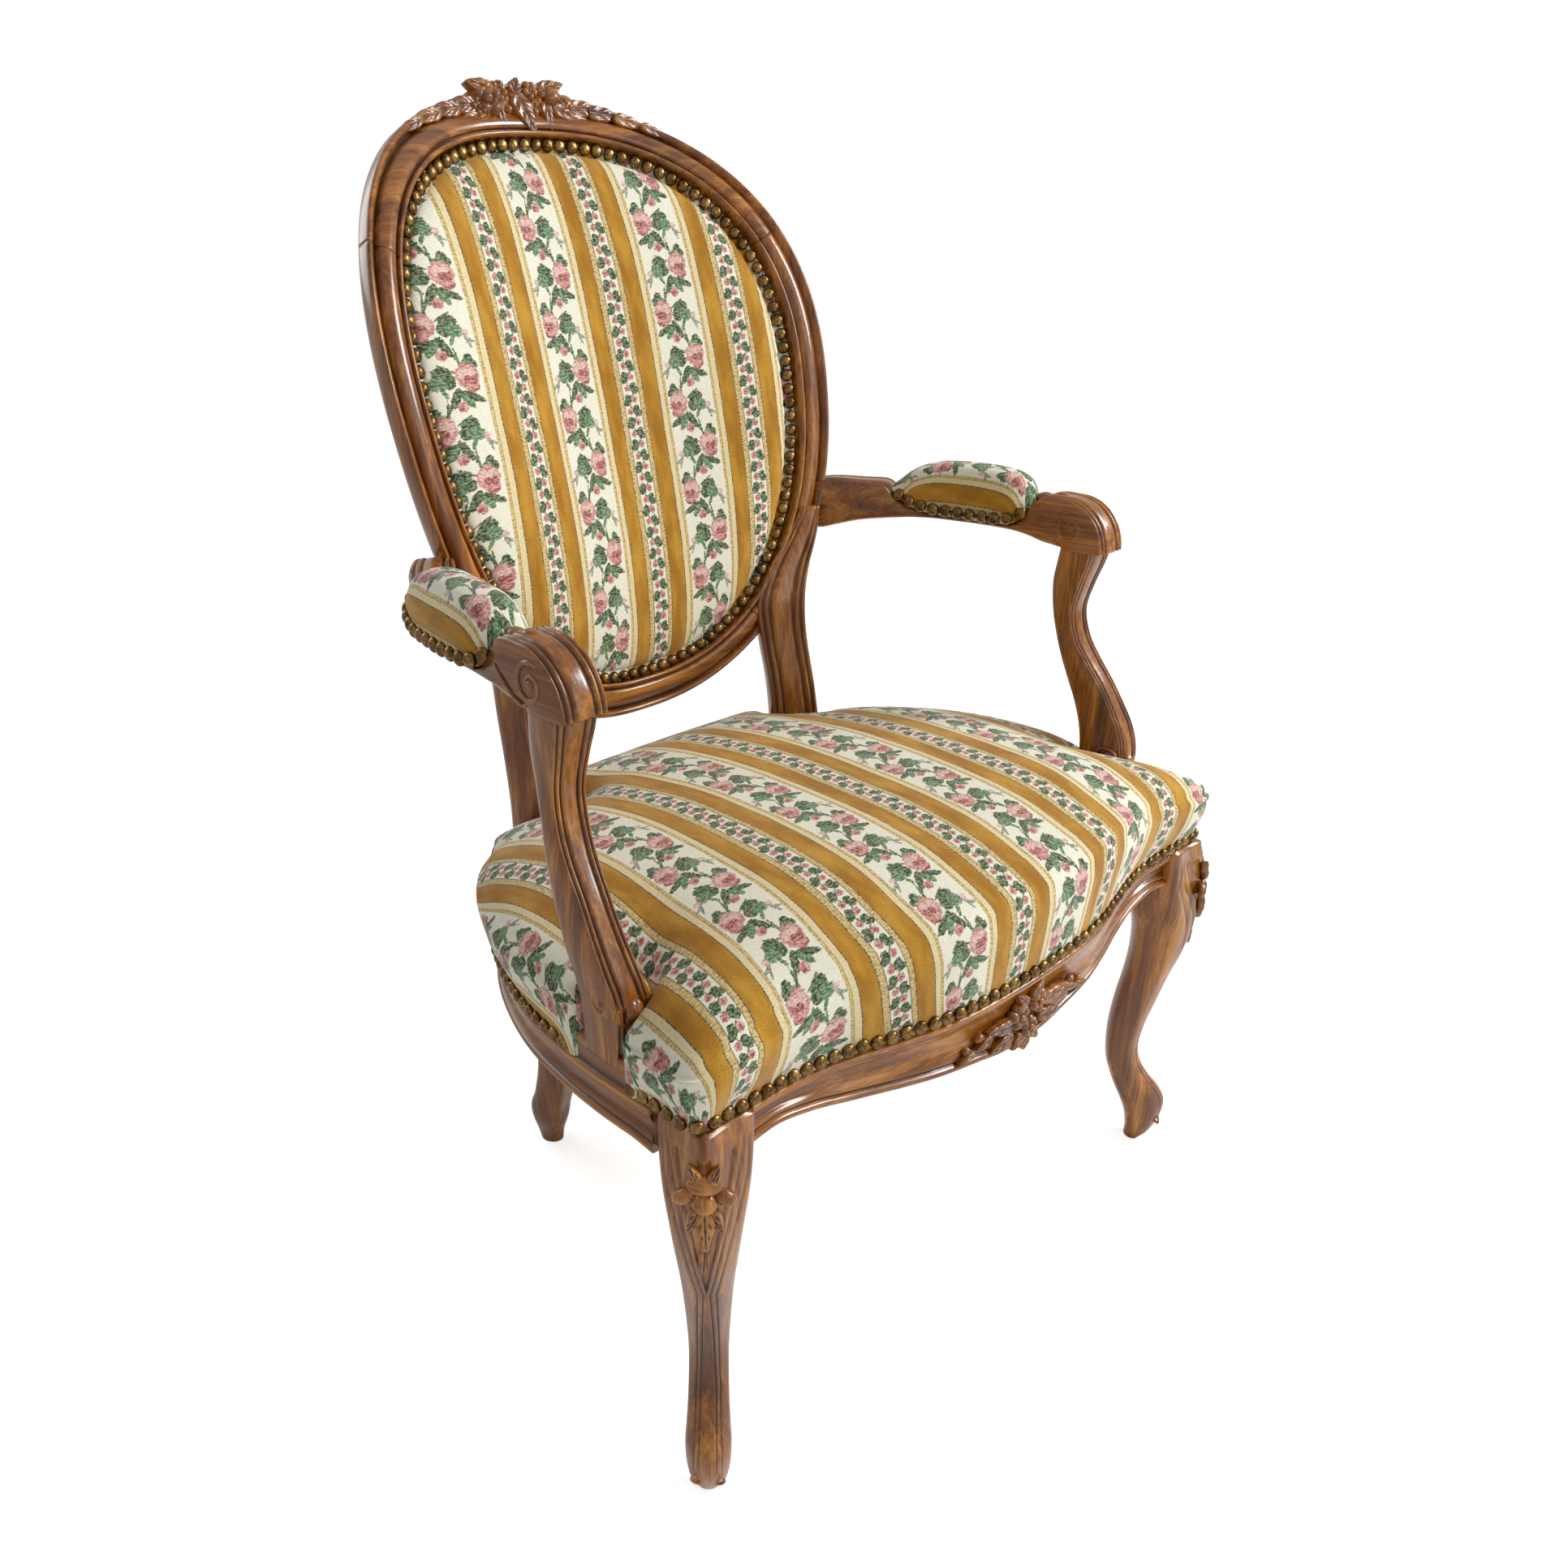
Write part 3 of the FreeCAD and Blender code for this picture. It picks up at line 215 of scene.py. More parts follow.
def oval_lift(x, up, forward):
    """Place on the bent and leaning back of a flat one."""
    depth = -OVAL_BEND * abs(x / OVAL_BEND_AT) ** OVAL_BEND_POWER - forward
    y = OVAL_Y + up * math.sin(OVAL_LEAN) + depth * math.cos(OVAL_LEAN)
    z = OVAL_Z + up * math.cos(OVAL_LEAN) - depth * math.sin(OVAL_LEAN)
    return np.array([x, y, z])


def oval_inset(degrees, inward):
    """Flat place at a distance inside the outer line."""
    angle = math.radians(degrees)
    x, up = oval_flat(angle)
    xa, ua = oval_flat(angle - 0.03)
    xb, ub = oval_flat(angle + 0.03)
    run = math.hypot(xb - xa, ub - ua)
    return x + (ub - ua) / run * inward, up - (xb - xa) / run * inward


def oval_point(degrees, inward, forward):
    return oval_lift(*oval_inset(degrees, inward), forward)


FACING = np.array([0, -math.cos(OVAL_LEAN), math.sin(OVAL_LEAN)])


def frame_section(degrees, profile):
    """Section of the back's frame at a place round the oval."""
    outer = oval_point(degrees, 0, 0)
    reach = FRAME_WIDE + FRAME_REBATE / 2
    inward = (oval_point(degrees, reach, 0) - outer) / reach
    p = np.asarray(profile, float)
    return outer + inward * p[:, :1] + FACING * p[:, 1:]


def flute_depth(share):
    return reading(FLUTES, min(abs(share), 1))


# ---------------------------------------------------------------- meshes
class Shape:
    """Vertices and faces of one piece, gathered from closed shells."""

    def __init__(self):
        self.points, self.faces, self.count, self.cloth = [], [], 0, []

    def add(self, points, faces, cloth=None):
        points = np.asarray(points, float)
        self.points.append(points)
        self.faces += [tuple(int(i) + self.count for i in face) for face in faces]
        self.cloth.append(np.zeros((len(points), 2)) if cloth is None else np.asarray(cloth, float))
        self.count += len(points)

    def sweep(self, rings, cloth=None):
        """Closed shell through rings with the same number of points."""
        rings = np.asarray(rings, float)
        n, m = rings.shape[:2]
        step = [(j, (j + 1) % m) for j in range(m)]
        faces = [(i * m + j, i * m + k, (i + 1) * m + k, (i + 1) * m + j) for i in range(n - 1) for j, k in step]
        low, high, last = n * m, n * m + 1, (n - 1) * m
        for j, k in step:
            faces += [(low, k, j), (high, last + j, last + k)]
        if cloth is not None:
            cloth = np.asarray(cloth, float).reshape(-1, 2)
            cloth = np.vstack([cloth, cloth[:m].mean(axis=0), cloth[-m:].mean(axis=0)])
        self.add(np.vstack([rings.reshape(-1, 3), rings[0].mean(axis=0), rings[-1].mean(axis=0)]), faces, cloth)

    def grid(self, top, base):
        """Closed form between a raised grid and the same grid laid on its ground."""
        n, m = top.shape[:2]
        faces = []

        def at(i, j, side):
            return (side * n + i) * m + j

        for i in range(n - 1):
            for j in range(m - 1):
                faces.append((at(i, j, 0), at(i, j + 1, 0), at(i + 1, j + 1, 0), at(i + 1, j, 0)))
                faces.append((at(i, j, 1), at(i + 1, j, 1), at(i + 1, j + 1, 1), at(i, j + 1, 1)))
        rim = [(0, j) for j in range(m)] + [(i, m - 1) for i in range(1, n)]
        rim += [(n - 1, j) for j in range(m - 2, -1, -1)] + [(i, 0) for i in range(n - 2, 0, -1)]
        for (i, j), (p, q) in zip(rim, rim[1:] + rim[:1]):
            faces.append((at(p, q, 0), at(i, j, 0), at(i, j, 1), at(p, q, 1)))
        self.add(np.vstack([top.reshape(-1, 3), base.reshape(-1, 3)]), faces)

    def tube(self, line, radius):
        """Round bead along a line."""
        p = np.asarray(line, float)
        run = np.gradient(p, axis=0)
        run /= np.linalg.norm(run, axis=1)[:, None]
        side = np.cross(run, [0.13, 0.21, 0.97])
        side /= np.linalg.norm(side, axis=1)[:, None]
        up = np.cross(side, run)
        turn = np.arange(10) * math.pi / 5
        self.sweep([p[i] + radius[i] * (np.cos(turn)[:, None] * side[i] + np.sin(turn)[:, None] * up[i])
                    for i in range(len(p))])

    def mirror(self):
        """The same piece for the other side of the chair."""
        other = Shape()
        points = np.vstack(self.points) * [-1, 1, 1]
        other.add(points, [tuple(reversed(face)) for face in self.faces], np.vstack(self.cloth) * [-1, 1])
        return other


def tapered(count, ends, start):
    """Thickness along a bead that thins towards both ends."""
    t = np.linspace(0, 1, count)
    return np.clip(np.minimum(start + (1 - start) * t / ends, start + (1 - start) * (1 - t) / ends), 0.05, 1)


def basis(normal, along):
    """Unit directions along and across a carved form, and out of the wood."""
    n = np.asarray(normal, float)
    n = n / np.linalg.norm(n)
    a = np.asarray(along, float)
    a = a - n * (a @ n)
    a = a / np.linalg.norm(a)
    return a, np.cross(n, a), n


def leaf(shape, root, tip, wide, height, normal, ribs=3, lobes=0, curl=0):
    """Carved leaf: ribbed, edge scalloped, its tip curled up or down."""
    root, tip = np.asarray(root, float), np.asarray(tip, float)
    length = np.linalg.norm(tip - root)
    a, c, n = basis(normal, tip - root)
    rows, cols = 30, 21
    top, base = np.zeros((rows, cols, 3)), np.zeros((rows, cols, 3))
    for i in range(rows):
        s = i / (rows - 1)
        half = wide / 2 * max(math.sin(math.pi * min(s ** 0.62 * 0.93 + 0.07, 0.999)), 0.02) ** 0.75
        if lobes:
            half *= 0.92 + 0.14 * abs(math.sin(lobes * math.pi * s))
        lift = height * (0.25 + 0.75 * math.sin(math.pi * min(0.12 + 0.8 * s, 1)) ** 0.8) + curl * s ** 3
        for j in range(cols):
            t = -1 + 2 * j / (cols - 1)
            vein = -0.30 * math.exp(-(t / 0.13) ** 2) * math.sin(math.pi * min(s * 1.05, 1))
            rib = 0.11 * math.cos(2 * math.pi * (ribs * s - 0.9 * abs(t))) * (1 - t * t) * min(4 * abs(t), 1)
            edge = 0.16 * math.exp(-((abs(t) - 0.80) / 0.12) ** 2)
            spot = root + a * (length * s) + c * (half * t)
            top[i, j] = spot + n * (lift * (1 - abs(t) ** 4) ** 0.5 + height * (vein + rib + edge))
            base[i, j] = spot - n * LEAF_SINK
    shape.grid(top, base)


def sunk(rings, n, depth):
    """Rings with a first one let into the wood."""
    return [np.array(rings[0]) - n * depth] + rings


def flower(shape, centre, radius, height, normal, turn=0):
    """Carved flower: raised petals with hollow middles round a small eye."""
    a, c, n = basis(normal, [0.31, 0.2, 0.9])
    petals, rows, cols = 5, 14, 60
    centre, rings = np.asarray(centre, float), []
    for i in range(rows):
        q = 1 - i / (rows - 1)
        ring = []
        for j in range(cols):
            ang = 2 * math.pi * j / cols
            petal = abs(math.cos(petals * ang / 2))
            reach = radius * (0.70 + 0.30 * petal ** 0.5) * max(q, 0.02)
            if i == 0:
                lift = 0.05
            elif q < 0.30:
                lift = 0.30 + 0.55 * math.cos(q / 0.30 * math.pi / 2)
            else:
                lift = 0.30 + 0.75 * math.sin(math.pi * min(q, 0.97) ** 1.3) * (0.55 + 0.45 * petal) - 0.1 * q
            ring.append(centre + reach * (math.cos(ang + turn) * a + math.sin(ang + turn) * c) + n * (height * lift))
        rings.append(ring)
    shape.sweep(sunk(rings, n, LEAF_SINK))


def bud(shape, centre, long, wide, height, normal, along, groove=False):
    """Smooth oval button, with an optional cleft."""
    a, c, n = basis(normal, along)
    centre, rings = np.asarray(centre, float), []
    for i in range(11):
        q = math.cos(i / 10 * math.pi / 2)
        ring = []
        for j in range(32):
            u, v = math.cos(2 * math.pi * j / 32) * q, math.sin(2 * math.pi * j / 32) * q
            cleft = 0.35 * math.exp(-(v / 0.14) ** 2) * max(u, 0) if groove else 0
            ring.append(centre + a * (u * long / 2) + c * (v * wide / 2)
                        + n * (height * (math.sqrt(max(1 - q * q, 0)) - cleft)))
        rings.append(ring)
    rings[-1] = np.array(rings[-1]) * 0.4 + np.array(rings[-2]) * 0.02 + (centre + n * height) * 0.58
    shape.sweep(sunk(rings, n, BUD_SINK))


def spiral(shape, centre, first, second, radius, turns, thick, start, inner):
    """Raised scroll line in the plane of two directions."""
    t = np.linspace(0, 1, 90)
    r = radius + (inner - radius) * t
    ang = start + turns * 2 * math.pi * t
    line = np.asarray(centre, float) + (r * np.cos(ang))[:, None] * np.asarray(first, float) \
        + (r * np.sin(ang))[:, None] * np.asarray(second, float)
    shape.tube(line, thick * (0.45 + 0.55 * (1 - t)) * tapered(90, 0.06, 0.4))


def make(name, shape, material, nodes, grain=None, seed=0):
    """Blender object from a gathered shape, in metres, with the attributes its finish reads."""
    metres = (np.vstack(shape.points) + [0, SHIFT_Y, 0]) / 1000
    mesh = bpy.data.meshes.new(name)
    mesh.from_pydata(metres.tolist(), [], shape.faces)
    mesh.validate()
    mesh.polygons.foreach_set("use_smooth", [True] * len(mesh.polygons))
    mesh.update()
    obj = bpy.data.objects.new(name, mesh)
    bpy.context.scene.collection.objects.link(obj)
    mesh.materials.append(material)
    make_outward(mesh)
    if grain:
        # the wood's long direction comes first, and each piece is cut from its own place in the plank
        order = {"x": (0, 1, 2), "y": (1, 0, 2), "z": (2, 0, 1)}[grain]
        draw = random.Random(seed)
        plank = [draw.uniform(0, 4), draw.uniform(-0.03, 0.03), draw.uniform(-0.03, 0.03)]
        set_attribute(mesh, "grain", metres[:, order] + plank)
        carve_shade(mesh)
    else:
        laid = np.vstack(shape.cloth) / 1000
        set_attribute(mesh, "cloth", np.hstack([laid, np.zeros((len(laid), 1))]))
    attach(obj, BODY)
    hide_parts(*nodes)
    return obj


def make_pair(name, shape, material, nodes, grain=None, seed=0):
    """The sitter's left piece and its mirror image on the right."""
    return [make(f"{name}_{side.title()}", part, material, [f"{node}_{side}" for node in nodes],
                 grain, seed + k)
            for k, (side, part) in enumerate((("left", shape), ("right", shape.mirror())))]


def make_outward(mesh):
    """All faces turned outwards."""
    work = bmesh.new()
    work.from_mesh(mesh)
    bmesh.ops.recalc_face_normals(work, faces=work.faces)
    work.to_mesh(mesh)
    work.free()
    mesh.update()


def set_attribute(mesh, name, values):
    """A number or a vector at each vertex, for the finish."""
    kind, key = ("FLOAT_VECTOR", "vector") if values.ndim == 2 else ("FLOAT", "value")
    layer = mesh.attributes.new(name, kind, "POINT")
    layer.data.foreach_set(key, values.astype(np.float32).ravel())


def carve_shade(mesh):
    """Hollows hold old polish and high edges are rubbed: both from the bend of the surface."""
    def read(items, key, width, kind=float):
        values = np.zeros(len(items) * width, kind)
        items.foreach_get(key, values)
        return values.reshape(-1, width)

    place, normal = read(mesh.vertices, "co", 3), read(mesh.vertices, "normal", 3)
    first, last = read(mesh.edges, "vertices", 2, np.int64).T
    step = place[last] - place[first]
    span = np.linalg.norm(step, axis=1) + 1e-7
    share = np.minimum(span, 0.004)
    bend, weight, degree = np.zeros((3, len(place)))
    for end, away in ((first, step), (last, -step)):
        np.add.at(bend, end, np.einsum("ij,ij->i", away, normal[end]) / span ** 2 * share)
        np.add.at(weight, end, share)
        np.add.at(degree, end, 1)
    bend /= np.maximum(weight, 1e-9)
    for _ in range(2):
        spread = np.zeros(len(place))
        np.add.at(spread, first, bend[last])
        np.add.at(spread, last, bend[first])
        bend = 0.5 * bend + 0.5 * spread / np.maximum(degree, 1)
    # hollow: concave places, darkened in the finish partly as old polish, partly as painted shade
    set_attribute(mesh, "hollow", np.clip(bend / 260, 0, 1))
    set_attribute(mesh, "worn", np.clip(-bend / 420 - 0.15, 0, 1))


# ---------------------------------------------------------------- materials
class Net:
    """Short notation for a material's nodes."""

    def __init__(self, name):
        self.material = bpy.data.materials.new(name)
        self.material.use_nodes = True
        self.nodes, self.links = self.material.node_tree.nodes, self.material.node_tree.links
        self.shader = self.nodes["Principled BSDF"]

    def put(self, socket, value):
        if isinstance(value, bpy.types.NodeSocket):
            self.links.new(value, socket)
        else:
            socket.default_value = value

    def node(self, kind, **inputs):
        made = self.nodes.new(kind)
        for key, value in inputs.items():
            self.put(made.inputs[key.replace("_", " ")], value)
        return made

    def math(self, operation, a, b=0, c=0):
        made = self.nodes.new("ShaderNodeMath")
        made.operation = operation
        for socket, value in zip(made.inputs, (a, b, c)):
            self.put(socket, value)
        return made.outputs[0]

    def add(self, a, b):
        return self.math("ADD", a, b)

    def mul(self, a, b):
        return self.math("MULTIPLY", a, b)

    def muladd(self, a, b, c):
        return self.math("MULTIPLY_ADD", a, b, c)

    def step(self, value, low, high, to_low=0, to_high=1):
        made = self.nodes.new("ShaderNodeMapRange")
        made.interpolation_type = "SMOOTHSTEP"
        for socket, amount in zip(made.inputs, (value, low, high, to_low, to_high)):
            self.put(socket, amount)
        return made.outputs[0]

    def mix(self, factor, first, second, blend="MIX"):
        made = self.nodes.new("ShaderNodeMix")
        made.data_type = "RGBA"
        made.blend_type = blend
        self.put(made.inputs[0], factor)
        self.put(made.inputs[6], first)
        self.put(made.inputs[7], second)
        return made.outputs[2]

    def attribute(self, name, output="Vector"):
        made = self.nodes.new("ShaderNodeAttribute")
        made.attribute_name = name
        return made.outputs[output]

    def place(self):
        return self.nodes.new("ShaderNodeTexCoord").outputs["Object"]

    def noise(self, vector, scale, detail=2, rough=0.5, distort=0):
        made = self.node("ShaderNodeTexNoise", Vector=vector, Scale=scale, Detail=detail,
                         Roughness=rough, Distortion=distort)
        return made.outputs[0]

    def scaled(self, vector, scale):
        made = self.nodes.new("ShaderNodeMapping")
        self.put(made.inputs["Vector"], vector)
        made.inputs["Scale"].default_value = scale
        return made.outputs[0]

    def ramp(self, value, stops, constant=False):
        made = self.nodes.new("ShaderNodeValToRGB")
        made.color_ramp.interpolation = "CONSTANT" if constant else "LINEAR"
        elements = made.color_ramp.elements
        while len(elements) < len(stops):
            elements.new(0.5)
        for element, (place, colour) in zip(elements, sorted(stops)):
            element.position = place
            element.color = colour
        self.put(made.inputs[0], value)
        return made.outputs[0]

    def bump(self, height, distance, strength=1, under=None):
        made = self.node("ShaderNodeBump", Height=height, Distance=distance, Strength=strength)
        if under is not None:
            self.put(made.inputs["Normal"], under)
        return made.outputs[0]

    def finish(self, colour, roughness, normal=None, **constants):
        self.put(self.shader.inputs["Base Color"], colour)
        self.put(self.shader.inputs["Roughness"], roughness)
        if normal is not None:
            self.put(self.shader.inputs["Normal"], normal)
        for key, value in constants.items():
            self.shader.inputs[key.replace("_", " ")].default_value = value
        return self.material


def rgb(red, green, blue):
    """Linear colour from the numbers of a painter's chart, 0 to 255."""
    def linear(v):
        v = v / 255
        return v / 12.92 if v <= 0.04045 else ((v + 0.055) / 1.055) ** 2.4
    return (linear(red), linear(green), linear(blue), 1)


def polished_walnut(name, tones):
    """Stained, satin-varnished wood: growth bands, streaks, pores, dark hollows, rubbed edges."""
    net = Net(name)
    dark, middle, light = tones
    grain = net.attribute("grain")
    warp = net.noise(net.scaled(grain, (1.4, 9, 9)), 3, 2)
    bands = net.noise(net.scaled(grain, (1.6, 46, 46)), 1.6, 4, 0.6, 0.5)
    streaks = net.noise(net.scaled(grain, (7, 260, 260)), 1.5, 3, 0.65)
    pores = net.noise(net.scaled(grain, (34, 1500, 1500)), 1.4, 2, 0.6)
    patches = net.noise(net.scaled(grain, (5, 8, 8)), 1.3, 3)
    tone = net.add(net.mul(bands, 0.55), net.add(net.mul(streaks, 0.35), net.mul(warp, 0.25)))
    colour = net.ramp(tone, [(0.38, dark), (0.56, middle), (0.74, light)])
    colour = net.mix(net.step(patches, 0.42, 0.72, 0, 0.45), colour, dark)
    fleck = net.step(pores, 0.60, 0.70, 0, 0.55)
    colour = net.mix(fleck, colour, rgb(52, 30, 16))
    # painted shade: hollows darkened almost to black, partly old polish in the grooves, partly shade painted in
    hollow = net.step(net.attribute("hollow", "Fac"), 0.02, 0.30, 0, 0.94)
    colour = net.mix(hollow, colour, rgb(34, 18, 9))
    worn = net.step(net.attribute("worn", "Fac"), 0.02, 0.6, 0, 0.55)
    colour = net.mix(net.mul(worn, net.step(patches, 0.3, 0.6, 0.4, 1)), colour, rgb(196, 142, 82))
    rough = net.add(net.add(net.muladd(patches, 0.14, 0.16), net.mul(hollow, 0.22)), net.mul(fleck, 0.12))
    height = net.add(net.mul(pores, 0.5), net.mul(streaks, 0.5))
    return net.finish(colour, rough, net.bump(height, 0.00018, 0.55), Coat_Weight=0.28, Coat_Roughness=0.12)


def sawn_wood(name):
    """Unfinished wood: growth bands, fibres and saw marks."""
    net = Net(name)
    place = net.place()
    bands = net.noise(net.scaled(place, (3, 60, 60)), 1.5, 4, 0.6, 0.4)
    fibre = net.noise(net.scaled(place, (20, 700, 700)), 1.2, 2)
    saw = net.noise(net.scaled(place, (420, 8, 8)), 1, 1)
    colour = net.ramp(net.add(net.mul(bands, 0.7), net.mul(fibre, 0.3)),
                      [(0.35, rgb(96, 62, 34)), (0.55, rgb(142, 99, 57)), (0.72, rgb(168, 124, 76))])
    height = net.add(net.mul(fibre, 0.6), net.mul(saw, 0.4))
    return net.finish(colour, net.muladd(fibre, 0.2, 0.6), net.bump(height, 0.0005, 0.6))


# One repeat of the stripes, in millimetres across: width, colour, share of velvet
STRIPES = [
    (23.8, "ground", 0), (2.4, "straw", 0), (0.6, "line", 0), (5, "cream", 0), (0.8, "brown", 0),
    (14.8, "gold", 1), (0.7, "brown", 0), (5, "straw", 0), (0.8, "line", 0), (16.7, "ground", 0),
    (0.8, "line", 0), (4, "straw", 0), (0.8, "brown", 0), (16.2, "gold", 1), (0.8, "brown", 0),
    (4.8, "cream", 0), (0.6, "line", 0), (2.4, "straw", 0), (23, "ground", 0)]
CLOTH_TONES = {
    "ground": rgb(238, 235, 214), "straw": rgb(218, 190, 118), "cream": rgb(234, 216, 166),
    "line": rgb(142, 128, 92), "brown": rgb(110, 78, 36), "gold": rgb(182, 130, 36)}
NARROW_CENTRE = 23.8 + 2.4 + 0.6 + 5 + 0.8 + 14.8 + 0.7 + 5 + 0.8 + 8.35
REPEAT = sum(row[0] for row in STRIPES)
# Flowers of the wide stripe: x, y, half width, half length, turn in degrees, colour
WIDE_FLOWERS = [
    (-5.5, 16, 0.8, 9, -28, "stem"), (3, 7, 0.8, 6, -60, "stem"), (-8.5, 5, 0.8, 16, -8, "stem"),
    (17.5, -8.5, 1, 7.5, 20, "grey"), (14.5, -6, 3.8, 1, 35, "grey"), (20.5, -10.5, 3.2, 1, -30, "grey"),
    (7, -10, 1.2, 5, -25, "mint"), (-12.8, -14.3, 8.5, 2.4, 23, "green"),
    (-8.5, -17, 2.3, 6, -38, "mint"), (-0.5, -15.2, 2.7, 7.3, 27, "green"),
    (6.3, 3, 6, 4.6, 20, "green"), (2.8, -2.6, 4.6, 4.6, 0, "green"), (9.8, -2.8, 4.8, 4.4, 0, "mint"),
    (-15.5, 14, 3, 3.4, 0, "green"), (-18.3, 10.2, 3, 2.8, 30, "green"), (-12.7, 10.4, 3, 2.8, -30, "mint"),
    (-14.5, -6.7, 4.6, 3.8, 0, "rose"), (-12.3, 0.8, 7.6, 8.4, 0, "pink"), (-8.6, 3, 3, 3.6, 20, "blush"),
    (-14.6, 4, 3.4, 2.6, -30, "blush"), (-12, -1.2, 2.6, 2.4, 0, "rose"), (-16.5, -1.5, 2.2, 3, 20, "rose"),
    (-3.5, -22, 3.4, 3.3, 0, "pink"), (-2.6, -22.8, 1.7, 1.6, 0, "rose"), (18, -4.6, 2.1, 1.9, 0, "blush")]
VINE_FLOWERS = [
    (0.6, 0, 0.7, 5.6, 32, "stem"), (3.4, 2.2, 3, 2.4, 25, "green"), (5.6, -1.6, 2.6, 2.6, -20, "green"),
    (-3, 0.4, 2.5, 2.5, 0, "pink"), (-3.2, 0, 1.1, 1.1, 0, "rose")]
THREADS = {
    "stem": rgb(66, 104, 62), "grey": rgb(150, 162, 144), "mint": rgb(84, 136, 92), "green": rgb(34, 84, 44),
    "rose": rgb(172, 84, 84), "pink": rgb(214, 148, 142), "blush": rgb(236, 194, 184)}


def striped_cloth(name):
    """Woven stripes: gold velvet, corded borders, flower sprays and a narrow flowering vine."""
    net = Net(name)
    place = net.attribute("cloth")
    split = net.node("ShaderNodeSeparateXYZ", Vector=place)
    u = net.mul(split.outputs[0], 1000)
    v = net.mul(split.outputs[1], 1000)
    wander = net.muladd(net.noise(place, 14, 2), 3, -1.5)
    stripe_u = net.add(u, wander)
    phase = net.math("FRACT", net.mul(stripe_u, 1 / REPEAT))
    colours, velvet, at = [], [], 0
    for wide, tone, pile in STRIPES:
        colours.append((at / REPEAT, CLOTH_TONES[tone]))
        velvet.append((at / REPEAT, (pile, pile, pile, 1)))
        at += wide
    colour = net.ramp(phase, colours, constant=True)
    pile_edges = [row for i, row in enumerate(velvet) if i == 0 or row[1] != velvet[i - 1][1]]
    pile = net.ramp(phase, pile_edges, constant=True)
    # hand-drawn edge of every thread shape
    fuzz = net.muladd(net.noise(place, 560, 2), 3.2, -1.6)
    lobes = net.muladd(net.noise(place, 260, 1), 0.9, 0.55)
    across = net.add(net.mul(phase, REPEAT), fuzz)
    wide_u = net.math("WRAP", across, REPEAT / 2, -REPEAT / 2)
    vine_u = net.math("WRAP", net.add(across, -NARROW_CENTRE), REPEAT / 2, -REPEAT / 2)
    flow = net.add(v, fuzz)
    for flowers, centre, drop in ((WIDE_FLOWERS, wide_u, 39), (VINE_FLOWERS, vine_u, 9.65)):
        for x, y, half_x, half_y, turn, thread in flowers:
            cell = net.math("FLOOR", net.muladd(flow, 1 / drop, 0.5 - y / drop))
            dv = net.add(net.add(flow, -y), net.mul(cell, -drop))
            odd = net.math("FLOORED_MODULO", cell, 2)
            side = net.muladd(odd, -2, 1)
            du = net.add(net.mul(side, centre), -x)
            # the drawn size with the spread of the thread
            half_x, half_y = half_x * 1.16 + 0.2, half_y * 1.16 + 0.2
            c, s = math.cos(math.radians(turn)), math.sin(math.radians(turn))
            a = net.add(net.mul(du, c / half_x), net.mul(dv, s / half_x))
            b = net.add(net.mul(du, -s / half_y), net.mul(dv, c / half_y))
            size = net.add(net.mul(a, a), net.mul(b, b))
            mask = net.step(net.mul(size, lobes), 1.18, 0.86)
            colour = net.mix(mask, colour, THREADS[thread])
    # light and dark passes of the shuttle
    threads = net.noise(net.scaled(place, (360, 620, 1)), 1, 2, 0.7)
    inked = net.step(net.node("ShaderNodeRGBToBW", Color=colour).outputs[0], 0.55, 0.75, 1, 0.12)
    colour = net.mix(net.mul(net.step(threads, 0.42, 0.62), net.mul(inked, 0.42)), colour,
                     rgb(60, 52, 34), "MULTIPLY")
    colour = net.mix(net.mul(net.step(threads, 0.56, 0.40), net.mul(inked, 0.30)), colour,
                     rgb(244, 226, 196))
    ridge = net.noise(net.scaled(place, (420, 1500, 1)), 1, 1)
    tufts = net.noise(net.scaled(place, (900, 900, 1)), 1, 2, 0.6)
    nap = net.noise(net.scaled(place, (40, 14, 1)), 1.4, 3, 0.6)
    colour = net.mix(net.step(ridge, 0.35, 0.65, 0, 0.16), colour, rgb(120, 112, 84), "MULTIPLY")
    gold = net.mix(net.step(nap, 0.32, 0.72), rgb(164, 112, 22), rgb(204, 154, 54))
    gold = net.mix(net.step(tufts, 0.40, 0.62, 0, 0.35), gold, rgb(112, 70, 12))
    colour = net.mix(pile, colour, gold)
    weft = net.math("SINE", net.mul(v, 2 * math.pi / 0.95))
    warp = net.math("SINE", net.mul(u, 2 * math.pi / 0.85))
    weave = net.add(net.mul(net.mul(weft, warp), 0.25), net.mul(ridge, 0.5))
    height = net.mix(pile, weave, net.mul(tufts, 0.8))
    raised = net.bump(pile, 0.0007, 0.6)
    rough = net.muladd(pile, 0.12, 0.78)
    return net.finish(colour, rough, net.bump(height, 0.00035, 0.5, raised), Sheen_Weight=0.25,
                      Sheen_Roughness=0.4, Specular_IOR_Level=0.3)


def plain_weave(name, first, second, pitch):
    """Coarse plain weave of the webbing."""
    net = Net(name)
    place = net.place()
    split = net.node("ShaderNodeSeparateXYZ", Vector=place)
    across = net.math("SINE", net.mul(split.outputs[0], 2 * math.pi / pitch))
    depth = net.add(split.outputs[1], split.outputs[2])
    along = net.math("SINE", net.mul(depth, 2 * math.pi / pitch))
    weave = net.mul(across, along)
    slub = net.noise(place, 240, 3)
    colour = net.mix(net.step(net.add(net.mul(weave, 0.3), slub), 0.3, 0.8), first, second)
    return net.finish(colour, net.muladd(slub, 0.15, 0.78), net.bump(net.add(weave, slub), 0.0004, 0.6))


